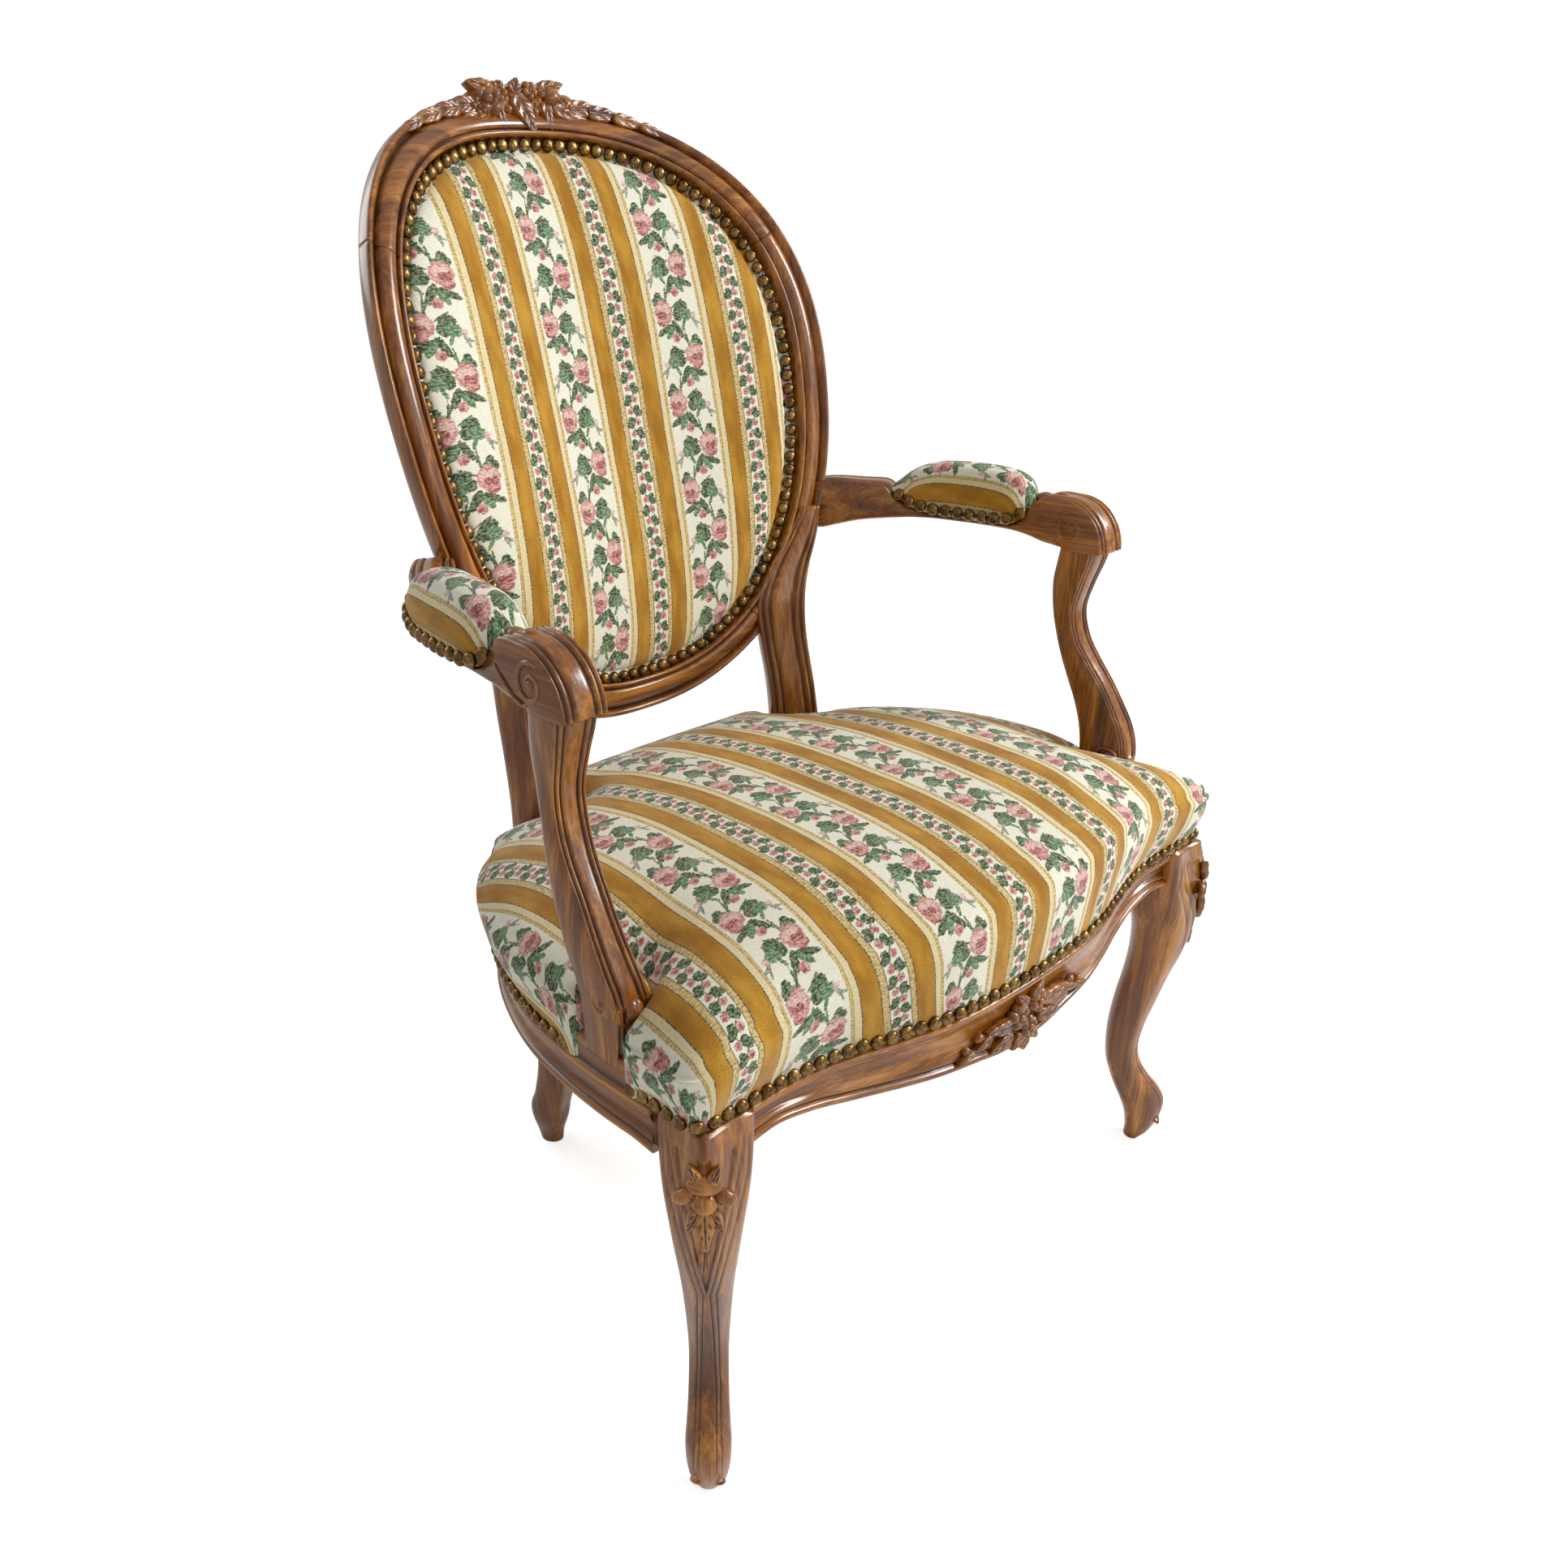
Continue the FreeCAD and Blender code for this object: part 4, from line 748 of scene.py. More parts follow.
def old_brass(name):
    """Antiqued brass heads: dark in the dents, brighter where cloth and sleeves rub."""
    net = Net(name)
    place = net.place()
    dents = net.noise(place, 520, 2, 0.6)
    age = net.noise(place, 70, 3)
    colour = net.ramp(net.add(net.mul(dents, 0.5), net.mul(age, 0.5)),
                      [(0.36, rgb(62, 44, 24)), (0.52, rgb(122, 94, 54)), (0.70, rgb(186, 154, 100))])
    rough = net.muladd(dents, 0.30, 0.16)
    return net.finish(colour, rough, net.bump(dents, 0.0004, 0.5), Metallic=1)


def plain_steel(name):
    """Screws, with marks along them."""
    net = Net(name)
    place = net.place()
    marks = net.noise(net.scaled(place, (900, 90, 90)), 1, 2)
    colour = net.mix(marks, rgb(120, 118, 114), rgb(170, 168, 164))
    return net.finish(colour, net.muladd(marks, 0.3, 0.3), net.bump(marks, 0.0002, 0.4), Metallic=1)


# ---------------------------------------------------------------- frame of the chair
def back_profile():
    """Whole section of the back moulding, front face finely cut, hidden side plain."""
    front = [(u, reading(BACK_MOULD, u)) for u in np.concatenate(
        [np.linspace(0, 10, 26), np.linspace(10.4, 25, 24), np.linspace(25.3, 32, 22)])]
    rim, low = FRAME_WIDE + FRAME_REBATE, -FRAME_BACK
    hidden = [(FRAME_WIDE + 0.01, 8), (FRAME_WIDE + 0.02, REBATE_LEVEL), (38, REBATE_LEVEL), (rim, REBATE_LEVEL),
              (rim, -8), (rim, low + 1.5), (rim - 1.5, low), (34, low), (20, low), (10, low), (6, low + 0.6),
              (3, low + 2.4), (1, low + 5.5), (0, low + 9.5), (0, -8)]
    return front + hidden


def back_arc(shape, start, end):
    """Part of the back's frame between two joints, each of which shows as a fine line."""
    profile = back_profile()
    count = max(8, int((end - start) * 1.9))
    shape.sweep([frame_section(start + JOINT_GAP + (end - start - 2 * JOINT_GAP) * i / count, profile)
                 for i in range(count + 1)])


# Leaves of the crest: root and tip (degrees, inward, forward), width, height, ribs, lobes, curl
CREST_LEAVES = [
    ((-1, -2, 9), (1, 31, 13), 21, 5.5, 4, 4, 1), ((4, 4, 9), (4.6, 27, 12), 12, 4, 3, 2, 0),
    ((-5, 5, 9), (-4.4, 26, 12), 10, 3.5, 3, 2, 0), ((-5, -2, 8), (-10.2, -11.5, 6), 15, 6, 3, 3, 2),
    ((3, -3, 8), (8.2, -11, 6), 14, 6, 3, 3, 2), ((5.5, 8, 9), (11, 16, 10), 12, 4, 3, 3, 0),
    ((-1.4, 0, 9), (-0.4, -12, 8), 13, 6, 3, 3, 1.5)]
# Blossoms: place, radius, height, turn
CREST_FLOWERS = [
    ((-6.5, 3, 7), 15.5, 8, 0.35), ((1.2, -2, 12), 8.5, 5, 0.9), ((-1.6, 6, 6), 11, 6, 0.2),
    ((2.4, 7, 6), 10, 6, 0.7), ((-3.6, -3, 6), 10, 6, 1.1),
    ((5, -5, 6), 9, 6, 0.4), ((-9, 8, 6), 9, 6, 0.6), ((8.4, 7, 6), 8, 6, 0.1)]


def build_crest(material):
    shape = Shape()
    back_arc(shape, -CREST_ANGLE, CREST_ANGLE)
    leaves = list(CREST_LEAVES)
    # scalloped leaves along the outer edge, on both sides
    for side in (-1, 1):
        for a, inward, b, tip, wide, high in ((9, 7, 16.5, 0.5, 16, 5.5), (13.5, 7, 21.5, 1, 14, 5),
                                              (19, 6, 27, 1.5, 12, 4.2), (25, 5, 32, 2, 9, 3.2)):
            leaves.append(((side * a, inward, 5), (side * b, tip, 4), wide, high, 3, 3, 1.2))
        leaves.append(((side * 8, 14, 8), (side * 16, 15, 9), 9, 3, 2, 0, 0))
    for root, tip, wide, height, ribs, lobes, curl in leaves:
        leaf(shape, oval_point(*root), oval_point(*tip), wide, height, FACING, ribs, lobes, curl)
    for place, radius, height, turn in CREST_FLOWERS:
        flower(shape, oval_point(*place), radius, height, FACING, turn)
    # eye of the large flower, smooth bud, and the bed of foliage under them all
    bud(shape, oval_point(-7.2, 3, 13), 12, 10, 5, FACING, [1, 0, 0.3], True)
    bud(shape, oval_point(5.6, 1, 10), 19, 14, 7, FACING, [1, 0, 0.45], True)
    for degrees in range(-9, 10, 3):
        bud(shape, oval_point(degrees, 4, 1), 22, 20, 9, FACING, [1, 0, 0])
    make("Crest_Rail", shape, material, ["crest_rail"], "x", 1)


def build_bottom_rail(material):
    shape = Shape()
    back_arc(shape, LOWER_ANGLE, 360 - LOWER_ANGLE)
    make("Back_Bottom_Rail", shape, material, ["back_bottom_rail"], "x", 2)


def post_outline(z, x, y, wide, deep, turn):
    """Section of the upright: fluted front above the seat, softly rounded elsewhere."""
    cut = 1 if z > 415 else max(0, (z - 385) / 30)
    cut *= 1 if z < 585 else max(0.2, (625 - z) / 40)
    front = [(wide * s, -deep + 1.1 * cut * flute_depth(s) + (1 - cut) * 5 * abs(s) ** 5)
             for s in np.linspace(-1, 1, 61)]
    rest = []
    for angle in np.linspace(0, math.pi, 40)[1:-1]:
        across, rear = bulged(angle, 0.55)
        rest.append((wide * across, -deep + 5 + (2 * deep - 5) * rear))
    outline = np.array(front + rest)
    if z < 60:
        # round foot
        blend = min(1, (60 - z) / 30)
        ang = np.arctan2(outline[:, 1] / deep, outline[:, 0] / wide)
        circle = np.stack([wide * np.cos(ang), deep * np.sin(ang)], axis=1)
        outline = outline * (1 - blend) + circle * blend
    c, s = math.cos(math.radians(turn)), math.sin(math.radians(turn))
    return np.array([[x + a * c + b * s, y - a * s + b * c, z] for a, b in outline])


def build_upright(material):
    shape = Shape()
    heights = np.concatenate([np.linspace(0, 60, 24), np.linspace(63, 625, 190)])
    shape.sweep([post_outline(z, *smooth(POST_CURVE, z)) for z in heights])
    back_arc(shape, CREST_ANGLE, LOWER_ANGLE)
    make_pair("Rear_Upright", shape, material, ["rear_upright"], "z", 3)


def leg_outline(z, outer, inner, half, square):
    """Section of the front leg across the corner, square at the top and round below."""
    deep = outer - inner
    across = [0.30 - 0.26 * square, 0.78 - 0.34 * square, 1, 0.86 - 0.42 * square, 0.40 - 0.36 * square]
    along = [outer, outer - 0.22 * deep, outer - (0.45 + 0.05 * square) * deep, inner + 0.22 * deep, inner]
    lateral = [(d, w * half) for d, w in zip(along, across)]
    outline = soft_line(rounded(lateral + [(d, -w) for d, w in reversed(lateral)], 22), 1.2 / 1.1)
    for i, (d, w) in enumerate(outline):
        share = abs(w) / half
        if d >= inner + 0.40 * deep:
            cut = leg_carving(z, share)
            outline[i] = (d - cut * (1 - 0.55 * share), w * (1 - 0.55 * cut / half * share))
    return corner_place(outline[:, 0], outline[:, 1], z)


def corner_place(out, lateral, z):
    """Place on the leg's diagonal; positive lateral runs towards the front rail."""
    return np.stack(np.broadcast_arrays(FRONT_HALF + (out - lateral) * DIAGONAL, -(out + lateral) * DIAGONAL,
                                        z), axis=-1)


def leg_carving(z, share):
    """Depth of the knee's sunk panel and of the beads that run down the leg's two edges."""
    fade = min(1, max(0, (z - 22) / 26)) * min(1, max(0, (341 - z) / 6))
    panel = 0.66 * max(0, min((z - 206) / 126, 1)) ** 0.8
    sunk = 2.3 * min(1, max(0, (panel - share) / 0.06)) if panel > 0.02 else 0
    sunk *= min(1, max(0, (336 - z) / 5))
    line = panel + 0.12 if z > 206 else 0.12 + 0.26 * min(1, (206 - z) / 110)
    first = 1.3 * math.exp(-((share - line) / 0.035) ** 2)
    second = 1.5 * math.exp(-((share - min(line + 0.22, 0.9)) / 0.04) ** 2)
    return sunk + (first + second) * fade


def leg_spot(z, lateral, lift=0):
    """Place on the knee's outward face."""
    outer, inner, half = smooth(LEG_CURVE, z)[:3]
    share = min(abs(lateral) / half, 0.98)
    out = outer - (outer - inner) * 0.5 * (1 - math.sqrt(1 - share ** 2)) + lift - 1.6
    return corner_place(out, lateral, z)


def build_legs(material):
    shape = Shape()
    heights = np.concatenate([np.linspace(0, 14, 10), np.linspace(16, 350, 170)])
    shape.sweep([leg_outline(z, *smooth(LEG_CURVE, z)) for z in heights])
    corner, front = FRONT_HALF + 3, 5
    block = [(corner - LEG_BLOCK, front + REBATE), (corner - REBATE - 6, front + REBATE),
             (corner - REBATE, front + REBATE + 6), (corner - REBATE, front + LEG_BLOCK),
             (corner - LEG_BLOCK, front + LEG_BLOCK)]
    shape.sweep([[(x, y, z) for x, y in block] for z in np.linspace(318, RAIL_TOP, 6)])
    out = np.array([DIAGONAL, -DIAGONAL, 0.1])
    # drop of cup flower, side petals, leaf and bud
    for z, lift, long, wide, height, along in ((318, 0.5, 24, 15, 6, [1, 1, 0]), (303, 0.5, 17, 17, 6.5, [0, 0, 1]),
                                               (264, 0, 10, 8, 4, [0, 0, 1])):
        bud(shape, leg_spot(z, 0, lift), long, wide, height, out, along, True)
    for side in (-1, 1):
        bud(shape, leg_spot(306, side * 13.5, 0), 17, 12, 5, out, [side, side, 0.6], False)
        leaf(shape, leg_spot(320, side * 4, 0.6), leg_spot(333, side * 10, 0.6), 9, 3.5, out, ribs=2, lobes=2)
        # curled toe
        place, across = leg_spot(27, side * 8.5, 1.6), np.array([-side, -side, 0]) * DIAGONAL
        spiral(shape, place, across, [0, 0, 1], 7, 1.3, 1.5, start=2.2, inner=1.5)
        leaf(shape, leg_spot(298, side * 3, 0), leg_spot(281, side * 12, 0), 11, 4, out, ribs=3)
    leaf(shape, leg_spot(297, 0, 0.5), leg_spot(268, 1, 0.5), 14, 4.6, out, ribs=3, lobes=3, curl=1)
    leaf(shape, leg_spot(262, 0), leg_spot(238, -1.5, 0.2), 8, 3, out, ribs=2)
    make_pair("Front_Leg", shape, material, ["front_leg"], "z", 5)


def rail_profile(low, deep_mould=1):
    """Height and inset of the polished face: lower bead, groove, cove, upper bead, hidden top."""
    high = SHOW_TOP
    span = high - low
    keys = [(low, 3), (low + 0.6, 1.2), (low + 2.2, 0), (low + 4.4, -0.9), (low + 6.8, -0.4), (low + 8, 1.2),
            (low + 8.8, 2.4), (low + 9.8, 1.2), (low + 12, 1), (low + 0.45 * span, 3.4), (low + 0.66 * span, 3.2),
            (high - 10.5, 1.6), (high - 8.2, 1.4), (high - 7.4, 2.6), (high - 6.6, 1), (high - 5, -0.8),
            (high - 3, -1.2), (high - 1.2, -0.6), (high, 0.8)]
    rows = [(z, 1.6 + (d - 1.6) * deep_mould) for z, d in keys]
    face = [(reading(rows, z), z) for z in np.linspace(low, high, 76)]
    return face + [(2, high + 0.2), (2, 356), (2, 365), (2, RAIL_TOP), (12, RAIL_TOP),
                   (RAIL_THICK - 1, RAIL_TOP), (RAIL_THICK, RAIL_TOP - 1), (RAIL_THICK, 345), (RAIL_THICK, low + 2),
                   (RAIL_THICK - 2, low), (20, low), (10, low)]


def rail_section(x, y, low, out_x, out_y, deep_mould):
    """Section of a rail whose face looks in the given flat direction."""
    return np.array([[x - out_x * d, y - out_y * d, z] for d, z in rail_profile(low, deep_mould)])


def front_face(x, z, lift=0):
    return np.array([x, reading(FRONT_LINE, abs(x)) - lift, z])


def build_front_rail(material):
    shape = Shape()
    reach = FRONT_HALF + 3 - LEG_BLOCK - 0.15
    shape.sweep([rail_section(x, reading(FRONT_LINE, abs(x)), reading(FRONT_LOW, abs(x)), 0, -1, 1.5)
                 for x in np.linspace(-reach, reach, 260)])
    out = np.array([0, -1, 0.08])
    for x, z, radius, turn, eye in ((-12, 320, 12.5, 0.4, 6), (12, 325, 11.5, 1, 6), (2, 306, 10.5, 0.2, 5.5)):
        flower(shape, front_face(x, z), radius, 5.5, out, turn)
        bud(shape, front_face(x, z, 3.5), eye, eye, 3, out, [1, 0, 0])
    for x0, z0, x1, z1, wide, ribs in (
            (-20, 316, -52, 322, 13, 3), (20, 320, 54, 324, 13, 3), (-18, 306, -46, 302, 13, 3),
            (16, 308, 46, 303, 13, 3), (0, 300, -3, 285, 12, 3), (6, 300, 16, 289, 10, 2), (-6, 302, -18, 291, 11, 2),
            (-3, 328, -16, 340, 11, 3), (4, 332, 16, 342, 10, 3),
            (-46, 318, -66, 313, 8, 2), (50, 320, 70, 314, 8, 2),
            (-66, 312, -84, 309, 6, 2), (70, 313, 88, 310, 6, 2)):
        leaf(shape, front_face(x0, z0), front_face(x1, z1), wide, 4, out, ribs=ribs, lobes=3)
    for x, z, long in ((-60, 321, 10), (62, 322, 10), (-74, 315, 8), (77, 316, 8)):
        bud(shape, front_face(x, z), long, 6, 3, out, [1, 0, 0.2], True)
    make("Front_Rail", shape, material, ["front_rail"], "x", 7)


def heading(table, y, reach, start, end):
    """Flat direction square to a line that runs from front to rear."""
    a, b = max(y - reach, start), min(y + reach, end)
    aside = reading(table, b) - reading(table, a)
    length = math.hypot(aside, b - a)
    return (b - a) / length, -aside / length


def side_normal(y):
    return heading(SIDE_LINE, y, 3, SIDE_START, SIDE_END)


def turned_in(direction, share):
    """The direction where a line has left its straight start by this share."""
    return 1 + (direction[0] - 1) * share, direction[1] * share


def build_side_rails(material):
    shape = Shape()
    rings = []
    for y in np.linspace(51.15, SIDE_END - 4, 200):
        out_x, out_y = turned_in(side_normal(y), min(1, (y - 51) / 30))
        low = SIDE_RAIL_LOW - 3 * max(0, 1 - (y - 51) / 20)
        rings.append(rail_section(reading(SIDE_LINE, y), y, low, out_x, out_y, 1.2))
    shape.sweep(rings)
    make_pair("Side_Rail", shape, material, ["side_rail"], "y", 8)


def arm_heading(y):
    return heading(ARM_LINE, y, 4, ARM_FRONT, ARM_REAR)


def arm_outline(y):
    """Section of the arm as (across, height), fluted on top where no pad covers it."""
    x, low, lip, top, half = smooth(ARM_LINE, y)
    bare = float(np.clip((PAD_FRONT - y) / 12, 0, 1) + np.clip((y - PAD_REAR) / 12, 0, 1))
    height = top - low
    pts = []
    for s in np.linspace(-1, 1, 61):
        flute = 1.15 * flute_depth(s)
        covered = (top - lip) * (1 if abs(s) > 0.72 else 0) * (1 - bare)
        pts.append((half * s, top - flute * bare - covered - (1 - bare) * 1 * abs(s) ** 6))
    for angle in np.linspace(0, math.pi, 36)[1:-1]:
        across, under = bulged(angle, 0.45)
        pts.append((half * across, low + (height * 0.40 - 3 * bare) * (1 - under)))
    return x, np.array(pts)


def build_arms(material):
    shape = Shape()
    rings = []
    # knuckle: the section turned about the top of the support
    x, outline = arm_outline(ARM_FRONT)
    reach = np.maximum(outline[:, 1] - KNUCKLE_Z, 0.2)
    for angle in np.radians(np.linspace(90, 2, 34)):
        swell = reach * (1 - 0.02 * math.sin(2 * angle))
        rings.append(np.stack([x + outline[:, 0], ARM_FRONT - swell * math.sin(angle),
                               KNUCKLE_Z + swell * math.cos(angle)], axis=1))
    for y in np.linspace(ARM_FRONT, 414, 156):
        x, outline = arm_outline(y)
        out_x, out_y = turned_in(arm_heading(y), min(1, (y - ARM_FRONT) / 20))
        rings.append(np.stack([x + out_x * outline[:, 0], y + out_y * outline[:, 0], outline[:, 1]], axis=1))
    shape.sweep(rings)
    up = [0, -0.15, 1]
    bud(shape, [299.2, 195, 640.5], 20, 14, 5, up, [0, 1, 0], True)
    bud(shape, [299.6, 179, 643.5], 16, 11, 4, up, [0, 1, 0], True)
    for side in (-1, 1):
        face = 300.4 + side * 18.4
        spiral(shape, [face, 157, 620], [0, -1, 0], [0, 0, 1], 15.5, 1.45, 1.9, start=1, inner=3)
        bud(shape, [face - side * 0.6, 157, 620], 7, 7, 2.6, [side, 0, 0], [0, 1, 0])
        line = [[face - side * 0.2 * i / 24, 163 + 33 * (i / 24), 604 + 22 * (i / 24) ** 1.8] for i in range(25)]
        shape.tube(line, 1.5 * tapered(25, 0.25, 0.3))
    make_pair("Arm", shape, material, ["arm"], "y", 10)


def build_supports(material):
    shape = Shape()
    rings = []
    for z in np.linspace(RAIL_TOP - 8, 600.9, 180):
        x, y0, y1, half = smooth(SUPPORT_LINE, z)
        pts = [(half * s, y0 + 1.15 * flute_depth(s)) for s in np.linspace(-1, 1, 61)]
        for angle in np.linspace(0, math.pi, 36)[1:-1]:
            across, rear = bulged(angle, 0.35)
            pts.append((half * across, y0 + 4 + (y1 - y0 - 4) * rear))
        rings.append([(x + w, y, z) for w, y in pts])
    shape.sweep(rings)
    # volute button and the bead round it
    rings = []
    for t in np.linspace(-1, 1, 30):
        ring = 11.5 * (1 - 0.10 * abs(math.sin(2.5 * math.pi * t))) * (1 - 0.35 * max(0, abs(t) - 0.8) / 0.2)
        rings.append([(308.5 + 16.3 * t, 93 + ring * math.cos(a), 411 + ring * math.sin(a))
                      for a in np.linspace(0, 2 * math.pi, 40, endpoint=False)])
    shape.sweep(rings)
    for side in (-1, 1):
        face = 308.6 + side * 15.8
        spiral(shape, [face, 96, 412], [0, -1, 0], [0, 0, 1], 14, 1.2, 1.7, start=-0.4, inner=4)
        bud(shape, [face, 96, 412], 8, 8, 2.4, [side, 0, 0], [0, 1, 0])
    bud(shape, [308.3, 80.5, 409], 17, 15, 5.5, [0, -1, 0.15], [0, 0, 1], True)
    line = [[308.3 + 13.5 * math.sin(a), 81.5 + 1.5 * math.cos(a) ** 2, 409 - 13 * math.cos(a)]
            for a in np.linspace(-1.9, 1.9, 40)]
    shape.tube(line, 1.9 * tapered(40, 0.2, 0.4))
    make_pair("Arm_Support", shape, material, ["arm_support"], "z", 12)


# ---------------------------------------------------------------- upholstery
FRONT_STATIONS = (0, 40, 80, 115, 150, 190, 240)
SUPPORT_FRONT, SUPPORT_REAR, SUPPORT_INNER = 77.5, 130, 289.5


def front_edge():
    """Front half of the cover's foot: across, depth, swell, height of the brow."""
    slack = REBATE - 1 - CLEAR - CLOTH
    return [(x, reading(FRONT_LINE, x) + slack, swell, high) for x, swell, high in
            zip(FRONT_STATIONS, (2, 2, 2, 3, 4, 6, 8), (432, 432, 432, 432, 431, 429, 422))]


def side_edge():
    """Side of the cover's foot, in the same numbers."""
    slack = REBATE - 1 - CLEAR - CLOTH
    return [(reading(SIDE_LINE, y) - slack, y, swell, high) for y, swell, high in
            zip((160, 195, 230, 265, 300, 335, 366), (7, 10, 12, 12, 12, 10, 3),
                (415, 419, 420, 420, 419, 417, 411))]


def seat_edge():
    """The cover's whole foot, with its notches at the arm supports and the uprights."""
    corner, front = FRONT_HALF + CLEAR + CLOTH, 8 - CLEAR - CLOTH
    outer = [reading(SIDE_LINE, y) - 0.5 for y in (SUPPORT_FRONT, SUPPORT_REAR)]
    rows = front_edge()
    rows += [(280, front, 10, 418), (corner - 7, front, 8, 411), (corner, front + 7, 8, 409),
             (corner, 45, 8, 406)]
    rows += [(outer[0], SUPPORT_FRONT, 0, 404), (SUPPORT_INNER, SUPPORT_FRONT, 0, 410),
             (SUPPORT_INNER, SUPPORT_REAR, 0, 412), (outer[1], SUPPORT_REAR, 0, 408)]
    rows += side_edge()
    rows += [(212.5, 386.3, 0, 408), (185.2, 348.8, 0, 412), (129.9, 373.6, 0, 422),
             (149, REAR_EDGE, 0, 424), (75, REAR_EDGE, 2, 429)]
    mirror = [(-x, y, swell, high) for x, y, swell, high in reversed(rows[1:])]
    return rows + [(0, REAR_EDGE, 2, 430)] + mirror


def drift(y):
    """Centre of a narrow stripe as the cloth was laid on the seat."""
    line = [(-60, -24), (-5, -20), (60, -11), (121, -4), (221, 1), (296, -5),
            (371, -16), (430, -22)]
    return reading(line, y)


def build_seat(material):
    fine = rounded(seat_edge(), 14)
    fine[:, 2] = np.clip(fine[:, 2], 0, 14)
    fine = soft_line(even(fine, 560), 1.1)
    flat = fine[:, :2]
    run = np.roll(flat, -1, axis=0) - np.roll(flat, 1, axis=0)
    run /= np.linalg.norm(run, axis=1)[:, None]
    outward = soft_line(np.stack([run[:, 1], -run[:, 0]], axis=1), 3)
    swell, high = fine[:, 2], fine[:, 3]
    level = soft_line(high, 12)
    centre = np.array([0, SEAT_CENTRE])
    brow = flat + outward * (-5 + swell * 0.3)[:, None]

    def toward(share):
        even_brow = soft_line(brow, 2 + 60 * share) if share < 0.5 else soft_line(brow, 32)
        return even_brow * (1 - share) + centre * share

    def ring(xy, z):
        return np.column_stack([xy, np.broadcast_to(z, len(fine))])

    wave = np.sin(np.arange(len(fine)) * 2 * math.pi / 560 * 47) * 0.25
    keys = [ring(flat, SHOW_TOP + 0.6), ring(flat + outward * 0.1, SHOW_TOP + 10),
            ring(flat + outward * (swell * 0.75 + wave)[:, None], SHOW_TOP + 14 + (high - SHOW_TOP - 14) * 0.28),
            ring(flat + outward * swell[:, None], high * 0.5 + 190),
            ring(flat + outward * (swell * 0.66 - 1.6)[:, None], high - 13), ring(brow, high - 4)]
    for share, crown in ((0.06, 0.17), (0.13, 0.38), (0.23, 0.64), (0.34, 0.82), (0.50, 0.94)):
        keys.append(ring(toward(share), level + (SEAT_CROWN - level) * crown))
    for share, over in ((0.66, -0.2), (0.84, 0.4), (0.985, 0.5)):
        keys.append(ring(toward(share), SEAT_CROWN + over))
    # smooth reading between the key rings, straight at the nailed foot
    steps = 5
    levels = open_curve(keys, steps)
    levels[:steps] = [keys[0] + (keys[1] - keys[0]) * k / steps for k in range(steps)]
    # soft hollows of an old seat
    x, y, z = levels[..., 0], levels[..., 1], levels[..., 2]
    rise = np.clip((z - 400) / 40, 0, 1)
    z -= rise * (2.2 * np.exp(-(((x - 6) / 120) ** 2 + ((y - 190) / 110) ** 2))
                 + 0.8 * np.sin(x / 47 + 0.6) * np.sin(y / 61))
    # the cloth lies flat on top and folds down over the edge
    uv = np.zeros(levels.shape[:2] + (2,))
    brow_level = 5 * steps
    for i in range(levels.shape[0]):
        if i >= brow_level:
            spot = levels[i][:, :2]
        else:
            fall = np.zeros(levels.shape[1])
            for k in range(i, brow_level):
                fall += np.linalg.norm(levels[k] - levels[k + 1], axis=1)
            spot = levels[brow_level][:, :2] + outward * fall[:, None]
        shift = np.array([drift(v) for v in spot[:, 1]])
        uv[i, :, 0] = (spot[:, 0] - shift) * REPEAT / SEAT_REPEAT + NARROW_CENTRE
        uv[i, :, 1] = spot[:, 1]
    shape = Shape()
    shape.sweep(levels, uv)
    obj = make("Seat_Cushioned_Cover", shape, material, ["seat_cover", "seat_padding"])


def eased(x):
    """The cloth was pulled wider towards the sitter's right edge of the back."""
    return x if x > -122 else -122 + (x + 122) * 0.70


def oval_rim(count, inward):
    """Flat line inside the oval, and the middle that rings run to."""
    return np.array([oval_inset(360 * i / count, inward) for i in range(count)]), np.array([0, 2])


def build_back(material):
    seat, rise, nailed = REBATE_LEVEL + 2.1, 33, 0.955
    count = 300
    rim, middle = oval_rim(count, FRAME_WIDE + 1.2)

    def height(share):
        """Height of the crown at a share of the way from the centre to the rim."""
        return 0 if share > nailed else rise * (1 - (share / nailed) ** 3.2) ** 0.62

    def laid(x, up):
        return eased(x - STRIPE_TILT * up) - STRIPE_SHIFT + NARROW_CENTRE, up

    crown = nailed * np.cos(np.linspace(0.02, math.pi / 2 - 0.02, 46)) ** 0.75
    levels = [[oval_lift(x, up, seat) for x, up in middle + (rim - middle) * share] for share in (0.5, 1)]
    uv = [[laid(x, up) for x, up in rim]] * 2
    for share in np.concatenate([[1, 0.985, 0.97, 0.96], crown]):
        ripple = 0.5 * math.exp(-((share - 0.93) / 0.04) ** 2)
        ring = []
        for i, (x, up) in enumerate(middle + (rim - middle) * share):
            pull = ripple * math.sin(i * 2 * math.pi / count * 108)
            uneven = 0.7 * math.sin(x / 38 + 0.4) * math.sin(up / 52) * height(share) / rise
            ring.append(oval_lift(x, up, seat + CLOTH + height(share) + pull + uneven))
        levels.append(ring)
        uv.append([laid(x, up) for x, up in middle + (rim - middle) * share])
    shape = Shape()
    shape.sweep(levels, uv)
    obj = make("Back_Cushioned_Cover", shape, material, ["back_front_cover", "back_padding"])


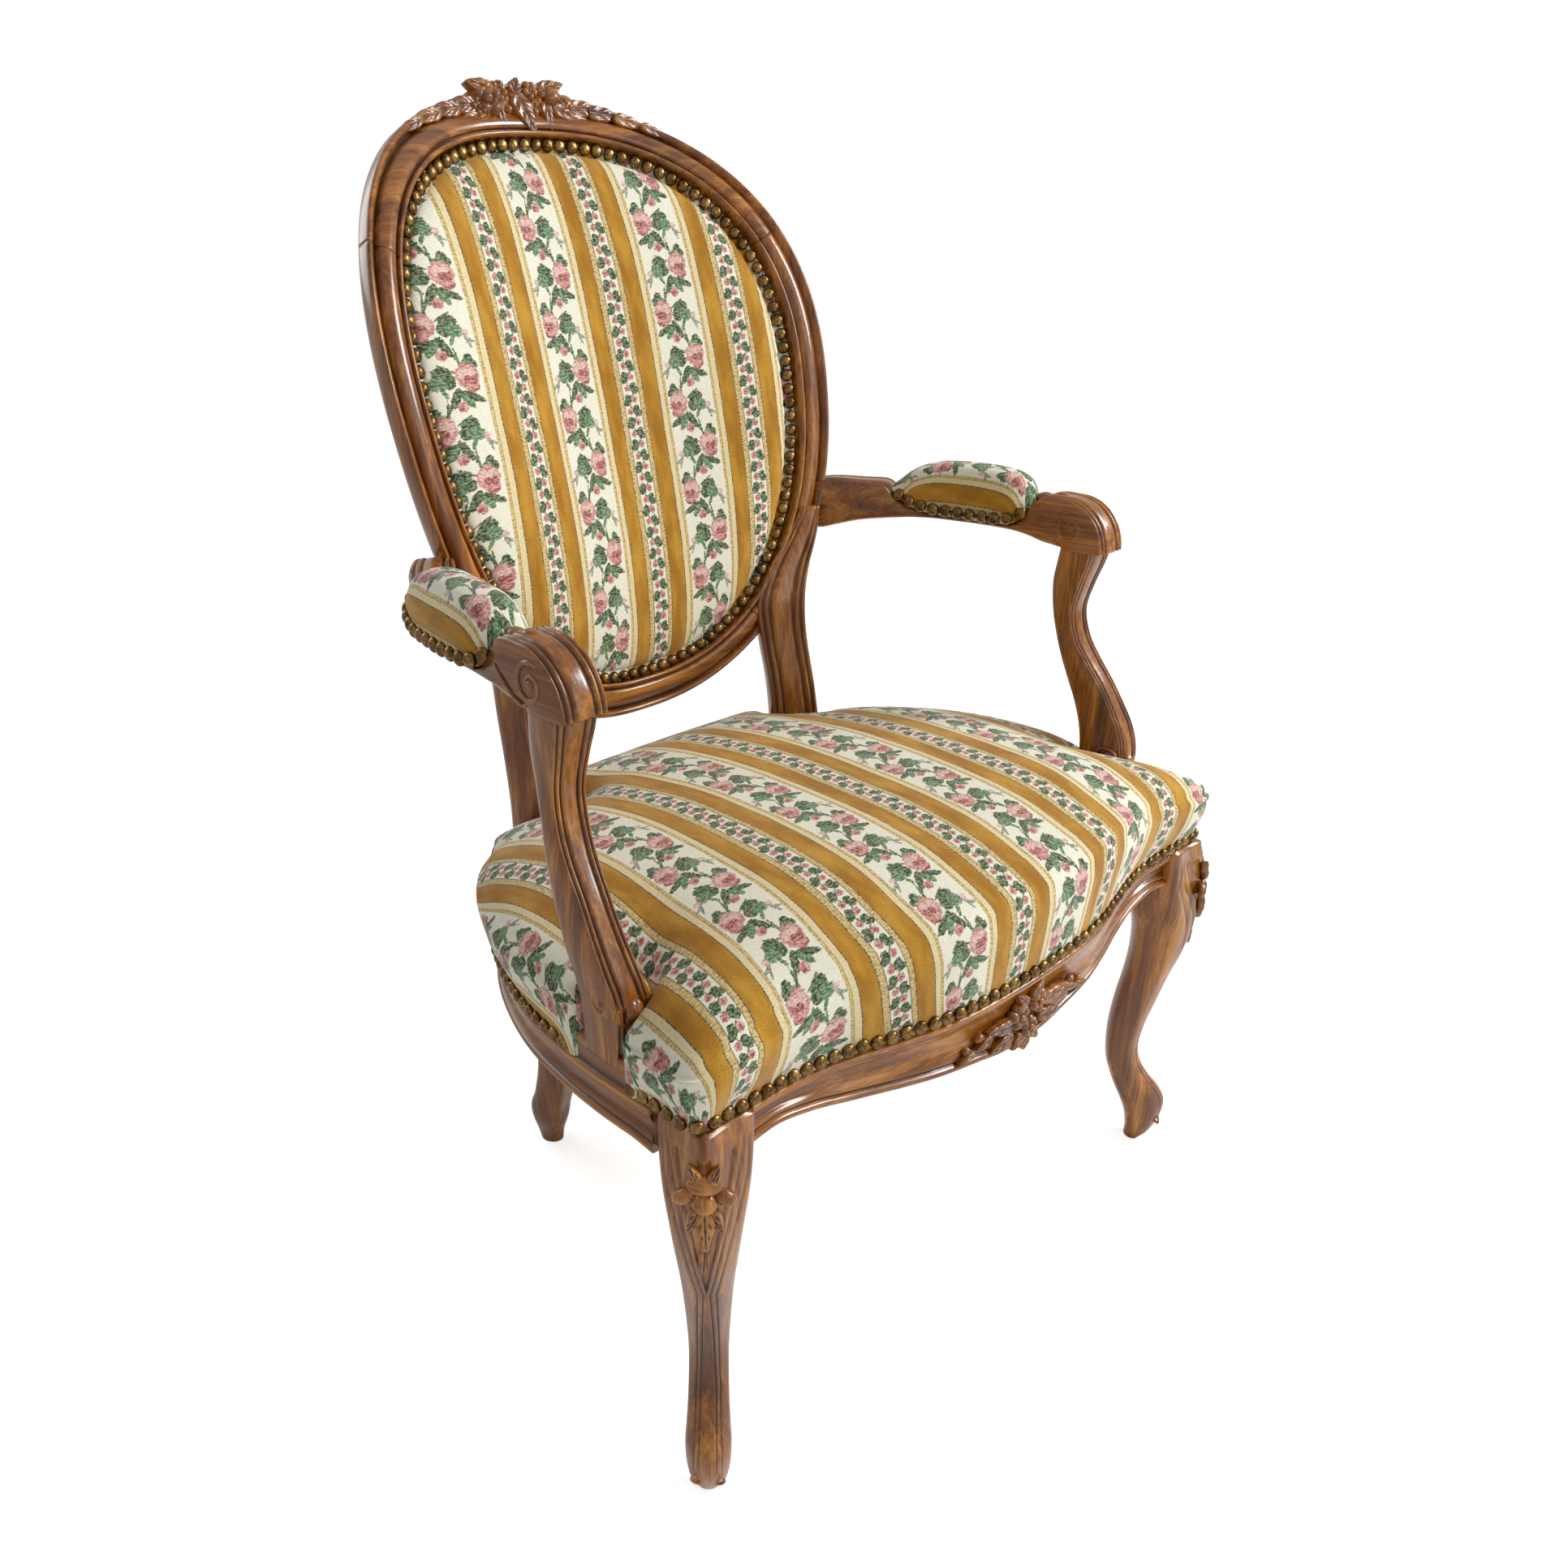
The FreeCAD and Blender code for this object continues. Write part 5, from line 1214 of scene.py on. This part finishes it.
def build_rear_cover(material):
    """Outside of the back, stretched flat over its opening and tacked to the frame."""
    near, far = -FRAME_BACK - 0.6, -FRAME_BACK - 1.8
    rim, middle = oval_rim(240, FRAME_WIDE - 6)
    front, rear, uv = [], [], []
    for share in np.linspace(0.03, 1, 34):
        flat = middle + (rim - middle) * share
        belly = 1.5 * (1 - share ** 2)
        front.append([oval_lift(x, up, near - belly) for x, up in flat])
        rear.append([oval_lift(x, up, far - belly) for x, up in flat])
        uv.append([(-x - STRIPE_TILT * up - STRIPE_SHIFT + NARROW_CENTRE, up) for x, up in flat])
    shape = Shape()
    shape.sweep(front + rear[::-1], uv + uv[::-1])
    obj = make("Back_Rear_Cover", shape, material, ["back_rear_cover"])


def build_arm_pads(material):
    shape = Shape()
    rings, uv = [], []
    start, length = PAD_FRONT - 4, PAD_REAR - PAD_FRONT + 8
    for y in start + length * (1 - np.cos(np.linspace(0, math.pi, 72))) / 2:
        t = (y - start) / length
        taper = max(1 - abs(2 * t - 1) ** 7, 0) ** 0.45
        x, _, lip = smooth(ARM_LINE, y)[:3]
        half, high = smooth(PAD_LINE, y)
        half = max(half * (0.62 + 0.38 * taper), 9)
        foot = lip + 0.9
        high = foot + max((high - foot) * (0.30 + 0.70 * taper), 4)
        out_x, out_y = arm_heading(y)
        section = [(half - 0.5, foot), (half + 0.6, foot + 6.5), (half + 2.4, foot + (high - foot) * 0.40),
                   (half * 0.93, foot + (high - foot) * 0.70), (half * 0.66, foot + (high - foot) * 0.90),
                   (half * 0.34, high - 0.9), (0, high)]
        whole = section + [(-w, z) for w, z in reversed(section[:-1])]
        line = open_curve(whole, 7)
        run = run_along(line)
        run -= run[-1] / 2
        bottom = np.linspace(line[-1], line[0], 8)[1:-1]
        ring = np.vstack([line, bottom])
        place = np.concatenate([-run, np.full(len(bottom), run[0])])
        rings.append(np.stack([x + out_x * ring[:, 0], y + out_y * ring[:, 0], ring[:, 1]], axis=1))
        uv.append(np.stack([place, np.full(len(ring), y + PAD_SHIFT)], axis=1))
    shape.sweep(rings, uv)
    for obj in make_pair("Arm_Pad", shape, material, ["arm_cover", "arm_padding"]):
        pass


# ---------------------------------------------------------------- nails
def head(shape, place, normal, draw):
    """One domed, slightly uneven upholstery nail."""
    n = np.asarray(normal, float) + [draw.uniform(-0.08, 0.08) for _ in range(3)]
    a, c, n = basis(n, [0.2, 0.1, 1])
    place = np.asarray(place, float)
    radius = NAIL_HEAD / 2 * draw.uniform(1.12, 1.2)
    high = NAIL_HIGH * draw.uniform(1.2, 1.4)
    rings = []
    for q, lift in ((0.92, -0.3), (1, 0.15), (0.985, 0.32), (0.90, 0.52), (0.74, 0.74), (0.52, 0.90), (0.26, 0.98),
                    (0.04, 1)):
        rings.append([place + radius * q * (math.cos(t) * a + math.sin(t) * c) + n * (lift * high)
                      for t in np.linspace(0, 2 * math.pi, 18, endpoint=False)])
    shape.sweep(rings)


def spaced(points, pitch):
    """Places at even steps along a line, each with the line's direction there."""
    p = np.asarray(points, float)
    lengths = run_along(p)
    count = max(1, round(lengths[-1] / pitch))
    places = []
    for i in range(count):
        target = lengths[-1] * (i + 0.5) / count
        index = int(np.clip(np.searchsorted(lengths, target, "right") - 1, 0, len(p) - 2))
        ahead = p[index + 1] - p[index]
        share = (target - lengths[index]) / (lengths[index + 1] - lengths[index])
        places.append((p[index] + ahead * share, ahead / np.linalg.norm(ahead)))
    return places


def build_seat_nails(material):
    shape, draw = Shape(), random.Random(21)
    lift = SHOW_TOP + NAIL_HEAD / 2 + 1.2
    corner = FRONT_HALF + CLEAR + CLOTH
    half = [(x, reading(FRONT_LINE, x) + 0.5, lift) for x in np.linspace(0, 240, 60)]
    half += [(280, 6.5, lift), (corner - 7, 6.5, lift), (corner, 13.5, lift), (corner, SUPPORT_FRONT - 2, lift)]
    front = [(-x, y, z) for x, y, z in reversed(half[1:])] + half
    side = [(reading(SIDE_LINE, y) - 0.5, y, lift) for y in np.linspace(140, 366, 60)]
    rear = [(140, REAR_EDGE, lift), (-140, REAR_EDGE, lift)]
    for line in (front, side, [(-x, y, z) for x, y, z in reversed(side)], rear):
        for place, heading in spaced(line, NAIL_PITCH):
            out = np.cross(heading, [0, 0, 1])
            head(shape, place + out * 0.8 + [0, 0, draw.uniform(-0.5, 0.5)], out, draw)
    make("Seat_Nails", shape, material, ["seat_nails"])


def oval_nails(shape, inward, level, sign, pitch, draw):
    """A row of nails round the back, facing forward (1) or to the rear (-1)."""
    rim = [oval_point(360 * i / 240, inward, level) for i in range(241)]
    for place, heading in spaced(rim, pitch):
        slope = OVAL_BEND * OVAL_BEND_POWER / OVAL_BEND_AT
        slope *= abs(place[0] / OVAL_BEND_AT) ** (OVAL_BEND_POWER - 1)
        out = np.array([-math.copysign(slope, place[0]), -math.cos(OVAL_LEAN), math.sin(OVAL_LEAN)])
        head(shape, place + heading * draw.uniform(-0.4, 0.4), out * sign, draw)


def build_back_nails(material):
    shape = Shape()
    oval_nails(shape, FRAME_WIDE + 5.6, REBATE_LEVEL + 4.6, 1, NAIL_PITCH, random.Random(22))
    make("Back_Front_Nails", shape, material, ["back_front_nails"])
    shape = Shape()
    oval_nails(shape, FRAME_WIDE, -FRAME_BACK - 2.2, -1, NAIL_PITCH * 2, random.Random(23))
    make("Back_Rear_Nails", shape, material, ["back_rear_nails"])


def build_arm_nails(material):
    shape, draw = Shape(), random.Random(24)
    for side in (-1, 1):
        line = []
        for y in np.linspace(204, 344, 50):
            x, _, lip = smooth(ARM_LINE, y)[:3]
            half = reading(PAD_LINE, y)
            out_x, out_y = arm_heading(y)
            line.append((x + out_x * side * (half + 1.4), y + out_y * side * (half + 1.4), lip + 6))
        for place, heading in spaced(line, NAIL_PITCH):
            out = np.cross(heading, [0, 0, 1]) * side
            head(shape, place, out / np.linalg.norm(out), draw)
    make_pair("Arm_Nails", shape, material, ["arm_nails"])


# ---------------------------------------------------------------- stage
CAMERA_PLACE = (-732.4, -449.1, 858.4)
CAMERA_YAW, CAMERA_PITCH, CAMERA_ROLL = 39.1, 29.16, -2.47
CAMERA_FOCAL, CAMERA_CENTRE, IMAGE = 1483.5, (785.3, 1130.3), 1932


def build_camera():
    yaw, pitch, roll = (math.radians(v) for v in (CAMERA_YAW, CAMERA_PITCH, CAMERA_ROLL))
    ahead = Vector((math.sin(yaw) * math.cos(pitch), math.cos(yaw) * math.cos(pitch), -math.sin(pitch)))
    level = Vector((math.cos(yaw), -math.sin(yaw), 0))
    up = level.cross(ahead)
    right = math.cos(roll) * level + math.sin(roll) * up
    top = -math.sin(roll) * level + math.cos(roll) * up
    data = bpy.data.cameras.new("Camera")
    data.sensor_width = 36
    data.sensor_fit = "HORIZONTAL"
    data.lens = CAMERA_FOCAL / IMAGE * 36
    data.shift_x = (IMAGE / 2 - CAMERA_CENTRE[0]) / IMAGE
    data.shift_y = (CAMERA_CENTRE[1] - IMAGE / 2) / IMAGE
    data.clip_start, data.clip_end = 0.02, 50
    obj = bpy.data.objects.new("Camera", data)
    x, y, z = CAMERA_PLACE
    rows = [[right[i], top[i], -ahead[i], (x, y + SHIFT_Y, z)[i] / 1000] for i in range(3)] + [[0, 0, 0, 1]]
    obj.matrix_world = Matrix(rows)
    bpy.context.scene.collection.objects.link(obj)
    bpy.context.scene.camera = obj


def lamp(name, place, size, power, colour=(1, 1, 1)):
    data = bpy.data.lights.new(name, "AREA")
    data.shape, data.size, data.size_y = "RECTANGLE", size, size
    data.energy, data.color = power, colour
    obj = bpy.data.objects.new(name, data)
    obj.location = place
    obj.rotation_euler = (Vector((0, 0, 0.45)) - Vector(place)).to_track_quat("-Z", "Y").to_euler()
    bpy.context.scene.collection.objects.link(obj)


def build_stage():
    """White surroundings for the camera, half as bright for the chair; three soft lamps; the floor."""
    bpy.context.scene.view_settings.view_transform = "Standard"
    world = bpy.data.worlds.new("Studio")
    world.use_nodes = True
    bpy.context.scene.world = world
    nodes, links = world.node_tree.nodes, world.node_tree.links
    back = nodes["Background"]
    rays = nodes.new("ShaderNodeLightPath").outputs

    def join(operation, first, second):
        made = nodes.new("ShaderNodeMath")
        made.operation = operation
        for socket, value in zip(made.inputs, (first, second)):
            if isinstance(value, float):
                socket.default_value = value
            else:
                links.new(value, socket)
        return made.outputs[0]

    glossy = join("MULTIPLY", rays["Is Glossy Ray"], 0.30)
    seen = join("MAXIMUM", rays["Is Camera Ray"], join("MAXIMUM", glossy, rays["Is Transmission Ray"]))
    level = nodes.new("ShaderNodeMapRange")
    level.inputs[3].default_value, level.inputs[4].default_value = 0.40, 1
    links.new(seen, level.inputs[0])
    links.new(level.outputs[0], back.inputs[1])
    back.inputs[0].default_value = (1, 1, 1, 1)
    lamp("Window", (1.8, -1.3, 2), 1, 60)
    lamp("Front_Fill", (0.3, -2.6, 1.5), 1.6, 13)
    lamp("Back_Fill", (-0.6, 2.3, 1.8), 1.4, 14)
    # floor: white where it is lit, it only keeps the chair's shadow
    mesh = bpy.data.meshes.new("Floor")
    size, cells = 6, 12
    points, faces = [], []
    for i in range(cells + 1):
        for j in range(cells + 1):
            points.append((-size + 2 * size * i / cells, -size + 2 * size * j / cells, -0.0006))
    for i in range(cells):
        for j in range(cells):
            a = i * (cells + 1) + j
            faces.append((a, a + cells + 1, a + cells + 2, a + 1))
    mesh.from_pydata(points, [], faces)
    net = Net("Studio_Floor")
    grit = net.noise(net.place(), 30, 2)
    net.finish(net.mix(grit, (0.93, 0.93, 0.93, 1), (0.95, 0.95, 0.95, 1)), 0.9)
    glow = net.nodes.new("ShaderNodeEmission")
    glow.inputs[0].default_value = (1, 1, 1, 1)
    paths = net.nodes.new("ShaderNodeLightPath")
    net.links.new(net.mul(paths.outputs["Is Camera Ray"], 0.62), glow.inputs[1])
    total = net.nodes.new("ShaderNodeAddShader")
    net.links.new(net.shader.outputs[0], total.inputs[0])
    net.links.new(glow.outputs[0], total.inputs[1])
    net.links.new(total.outputs[0], net.nodes["Material Output"].inputs[0])
    mesh.materials.append(net.material)
    floor = bpy.data.objects.new("Floor", mesh)
    bpy.context.scene.collection.objects.link(floor)


# ---------------------------------------------------------------- add-on
def tone(name, description, colour):
    return bpy.props.FloatVectorProperty(name=name, description=description, subtype="COLOR", size=4,
                                         default=colour, min=0, max=1)


class ArmchairFinish(bpy.types.PropertyGroup):
    """Colours of the polished frame and the weave of the webbing."""
    wood_dark: tone("Dark grain", "Darkest bands of the polished wood", rgb(62, 29, 7))
    wood_middle: tone("Middle grain", "Main colour of the polished wood", rgb(136, 78, 22))
    wood_light: tone("Light grain", "Palest bands of the polished wood", rgb(198, 134, 50))
    weave_pitch: bpy.props.FloatProperty(
        name="Webbing weave", description="Distance between the threads of the webbing", subtype="DISTANCE",
        default=0.0024, min=0.0005, max=0.01)


def material(name, maker, *settings):
    """The finish of this name, made the first time it is asked for."""
    found = bpy.data.materials.get(name)
    return found if found else maker(name, *settings)


def walnut():
    finish = bpy.context.scene.armchair_finish
    return material("Polished_Walnut", polished_walnut,
                    (tuple(finish.wood_dark), tuple(finish.wood_middle), tuple(finish.wood_light)))


def cloth():
    return material("Striped_Cloth", striped_cloth)


def brass():
    return material("Old_Brass", old_brass)


def piece_operator(key, label, about, *steps):
    """Operator class for one piece or group of like pieces."""
    def execute(self, context):
        for build, finish in steps:
            build(finish())
        return {"FINISHED"}
    return type("ARMCHAIR_OT_" + key, (bpy.types.Operator,), {
        "bl_idname": "armchair." + key, "bl_label": label, "__doc__": about, "execute": execute})


def finish_hidden_pieces():
    """Pieces whose drawn shape is right keep it and get their own finish."""
    sawn = material("Sawn_Beech", sawn_wood)
    jute = material("Jute_Webbing", plain_weave, rgb(120, 92, 56), rgb(184, 152, 106),
                    bpy.context.scene.armchair_finish.weave_pitch)
    steel = material("Plain_Steel", plain_steel)
    groups = ((sawn, ("rear_rail", "front_corner_brace_left", "front_corner_brace_right",
                      "rear_corner_brace_left", "rear_corner_brace_right")),
              (jute, ("seat_webbing", "back_webbing")), (steel, ("brace_screws",)))
    for finish, names in groups:
        for name in names:
            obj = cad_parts[name]
            obj = bpy.data.objects[obj] if isinstance(obj, str) else obj
            for slot in obj.material_slots:
                slot.link = "OBJECT"
                slot.material = finish


class ARMCHAIR_OT_hidden(bpy.types.Operator):
    """Finishes the rear rail, braces, webbing and screws."""
    bl_idname = "armchair.hidden"
    bl_label = "Braces and Webbing"

    def execute(self, context):
        finish_hidden_pieces()
        return {"FINISHED"}


class ARMCHAIR_OT_stage(bpy.types.Operator):
    """Sets the floor, the soft lamps and the camera."""
    bl_idname = "armchair.stage"
    bl_label = "Stage and Camera"

    def execute(self, context):
        build_camera()
        build_stage()
        return {"FINISHED"}


PIECES = (
    ARMCHAIR_OT_stage,
    piece_operator("legs", "Front Legs", "Carves the two cabriole legs.", (build_legs, walnut)),
    piece_operator("rails", "Seat Rails", "Shapes the front and side rails.",
                   (build_front_rail, walnut), (build_side_rails, walnut)),
    piece_operator("uprights", "Rear Uprights", "Shapes the rear legs and sides of the back.",
                   (build_upright, walnut)),
    piece_operator("crest", "Crest Rail", "Carves the top of the back.", (build_crest, walnut)),
    piece_operator("back_rail", "Back Bottom Rail", "Shapes the foot of the oval back.",
                   (build_bottom_rail, walnut)),
    piece_operator("arms", "Arms", "Shapes the arms with their scrolls.", (build_arms, walnut)),
    piece_operator("supports", "Arm Supports", "Shapes the fluted arm supports.", (build_supports, walnut)),
    piece_operator("seat", "Seat", "Upholsters the seat.", (build_seat, cloth)),
    piece_operator("back", "Back", "Upholsters both faces of the back.",
                   (build_back, cloth), (build_rear_cover, cloth)),
    piece_operator("pads", "Arm Pads", "Upholsters the arm pads.", (build_arm_pads, cloth)),
    piece_operator("nails", "Nails", "Sets the rows of brass nails.",
                   (build_seat_nails, brass), (build_back_nails, brass), (build_arm_nails, brass)),
    ARMCHAIR_OT_hidden)


class ARMCHAIR_PT_panel(bpy.types.Panel):
    """Lists the pieces of the chair."""
    bl_label = "Armchair"
    bl_idname = "ARMCHAIR_PT_panel"
    bl_space_type = "VIEW_3D"
    bl_region_type = "UI"
    bl_category = "Armchair"

    def draw(self, context):
        finish = context.scene.armchair_finish
        for key in ("wood_dark", "wood_middle", "wood_light", "weave_pitch"):
            self.layout.prop(finish, key)
        for piece in PIECES:
            self.layout.operator(piece.bl_idname)


def register():
    bpy.utils.register_class(ArmchairFinish)
    bpy.types.Scene.armchair_finish = bpy.props.PointerProperty(type=ArmchairFinish)
    for piece in PIECES:
        bpy.utils.register_class(piece)
    bpy.utils.register_class(ARMCHAIR_PT_panel)


def unregister():
    bpy.utils.unregister_class(ARMCHAIR_PT_panel)
    for piece in reversed(PIECES):
        bpy.utils.unregister_class(piece)
    del bpy.types.Scene.armchair_finish
    bpy.utils.unregister_class(ArmchairFinish)


def main():
    register()
    for piece in PIECES:
        getattr(bpy.ops.armchair, piece.bl_idname.split(".")[1])()


if __name__ == "__main__":
    main()
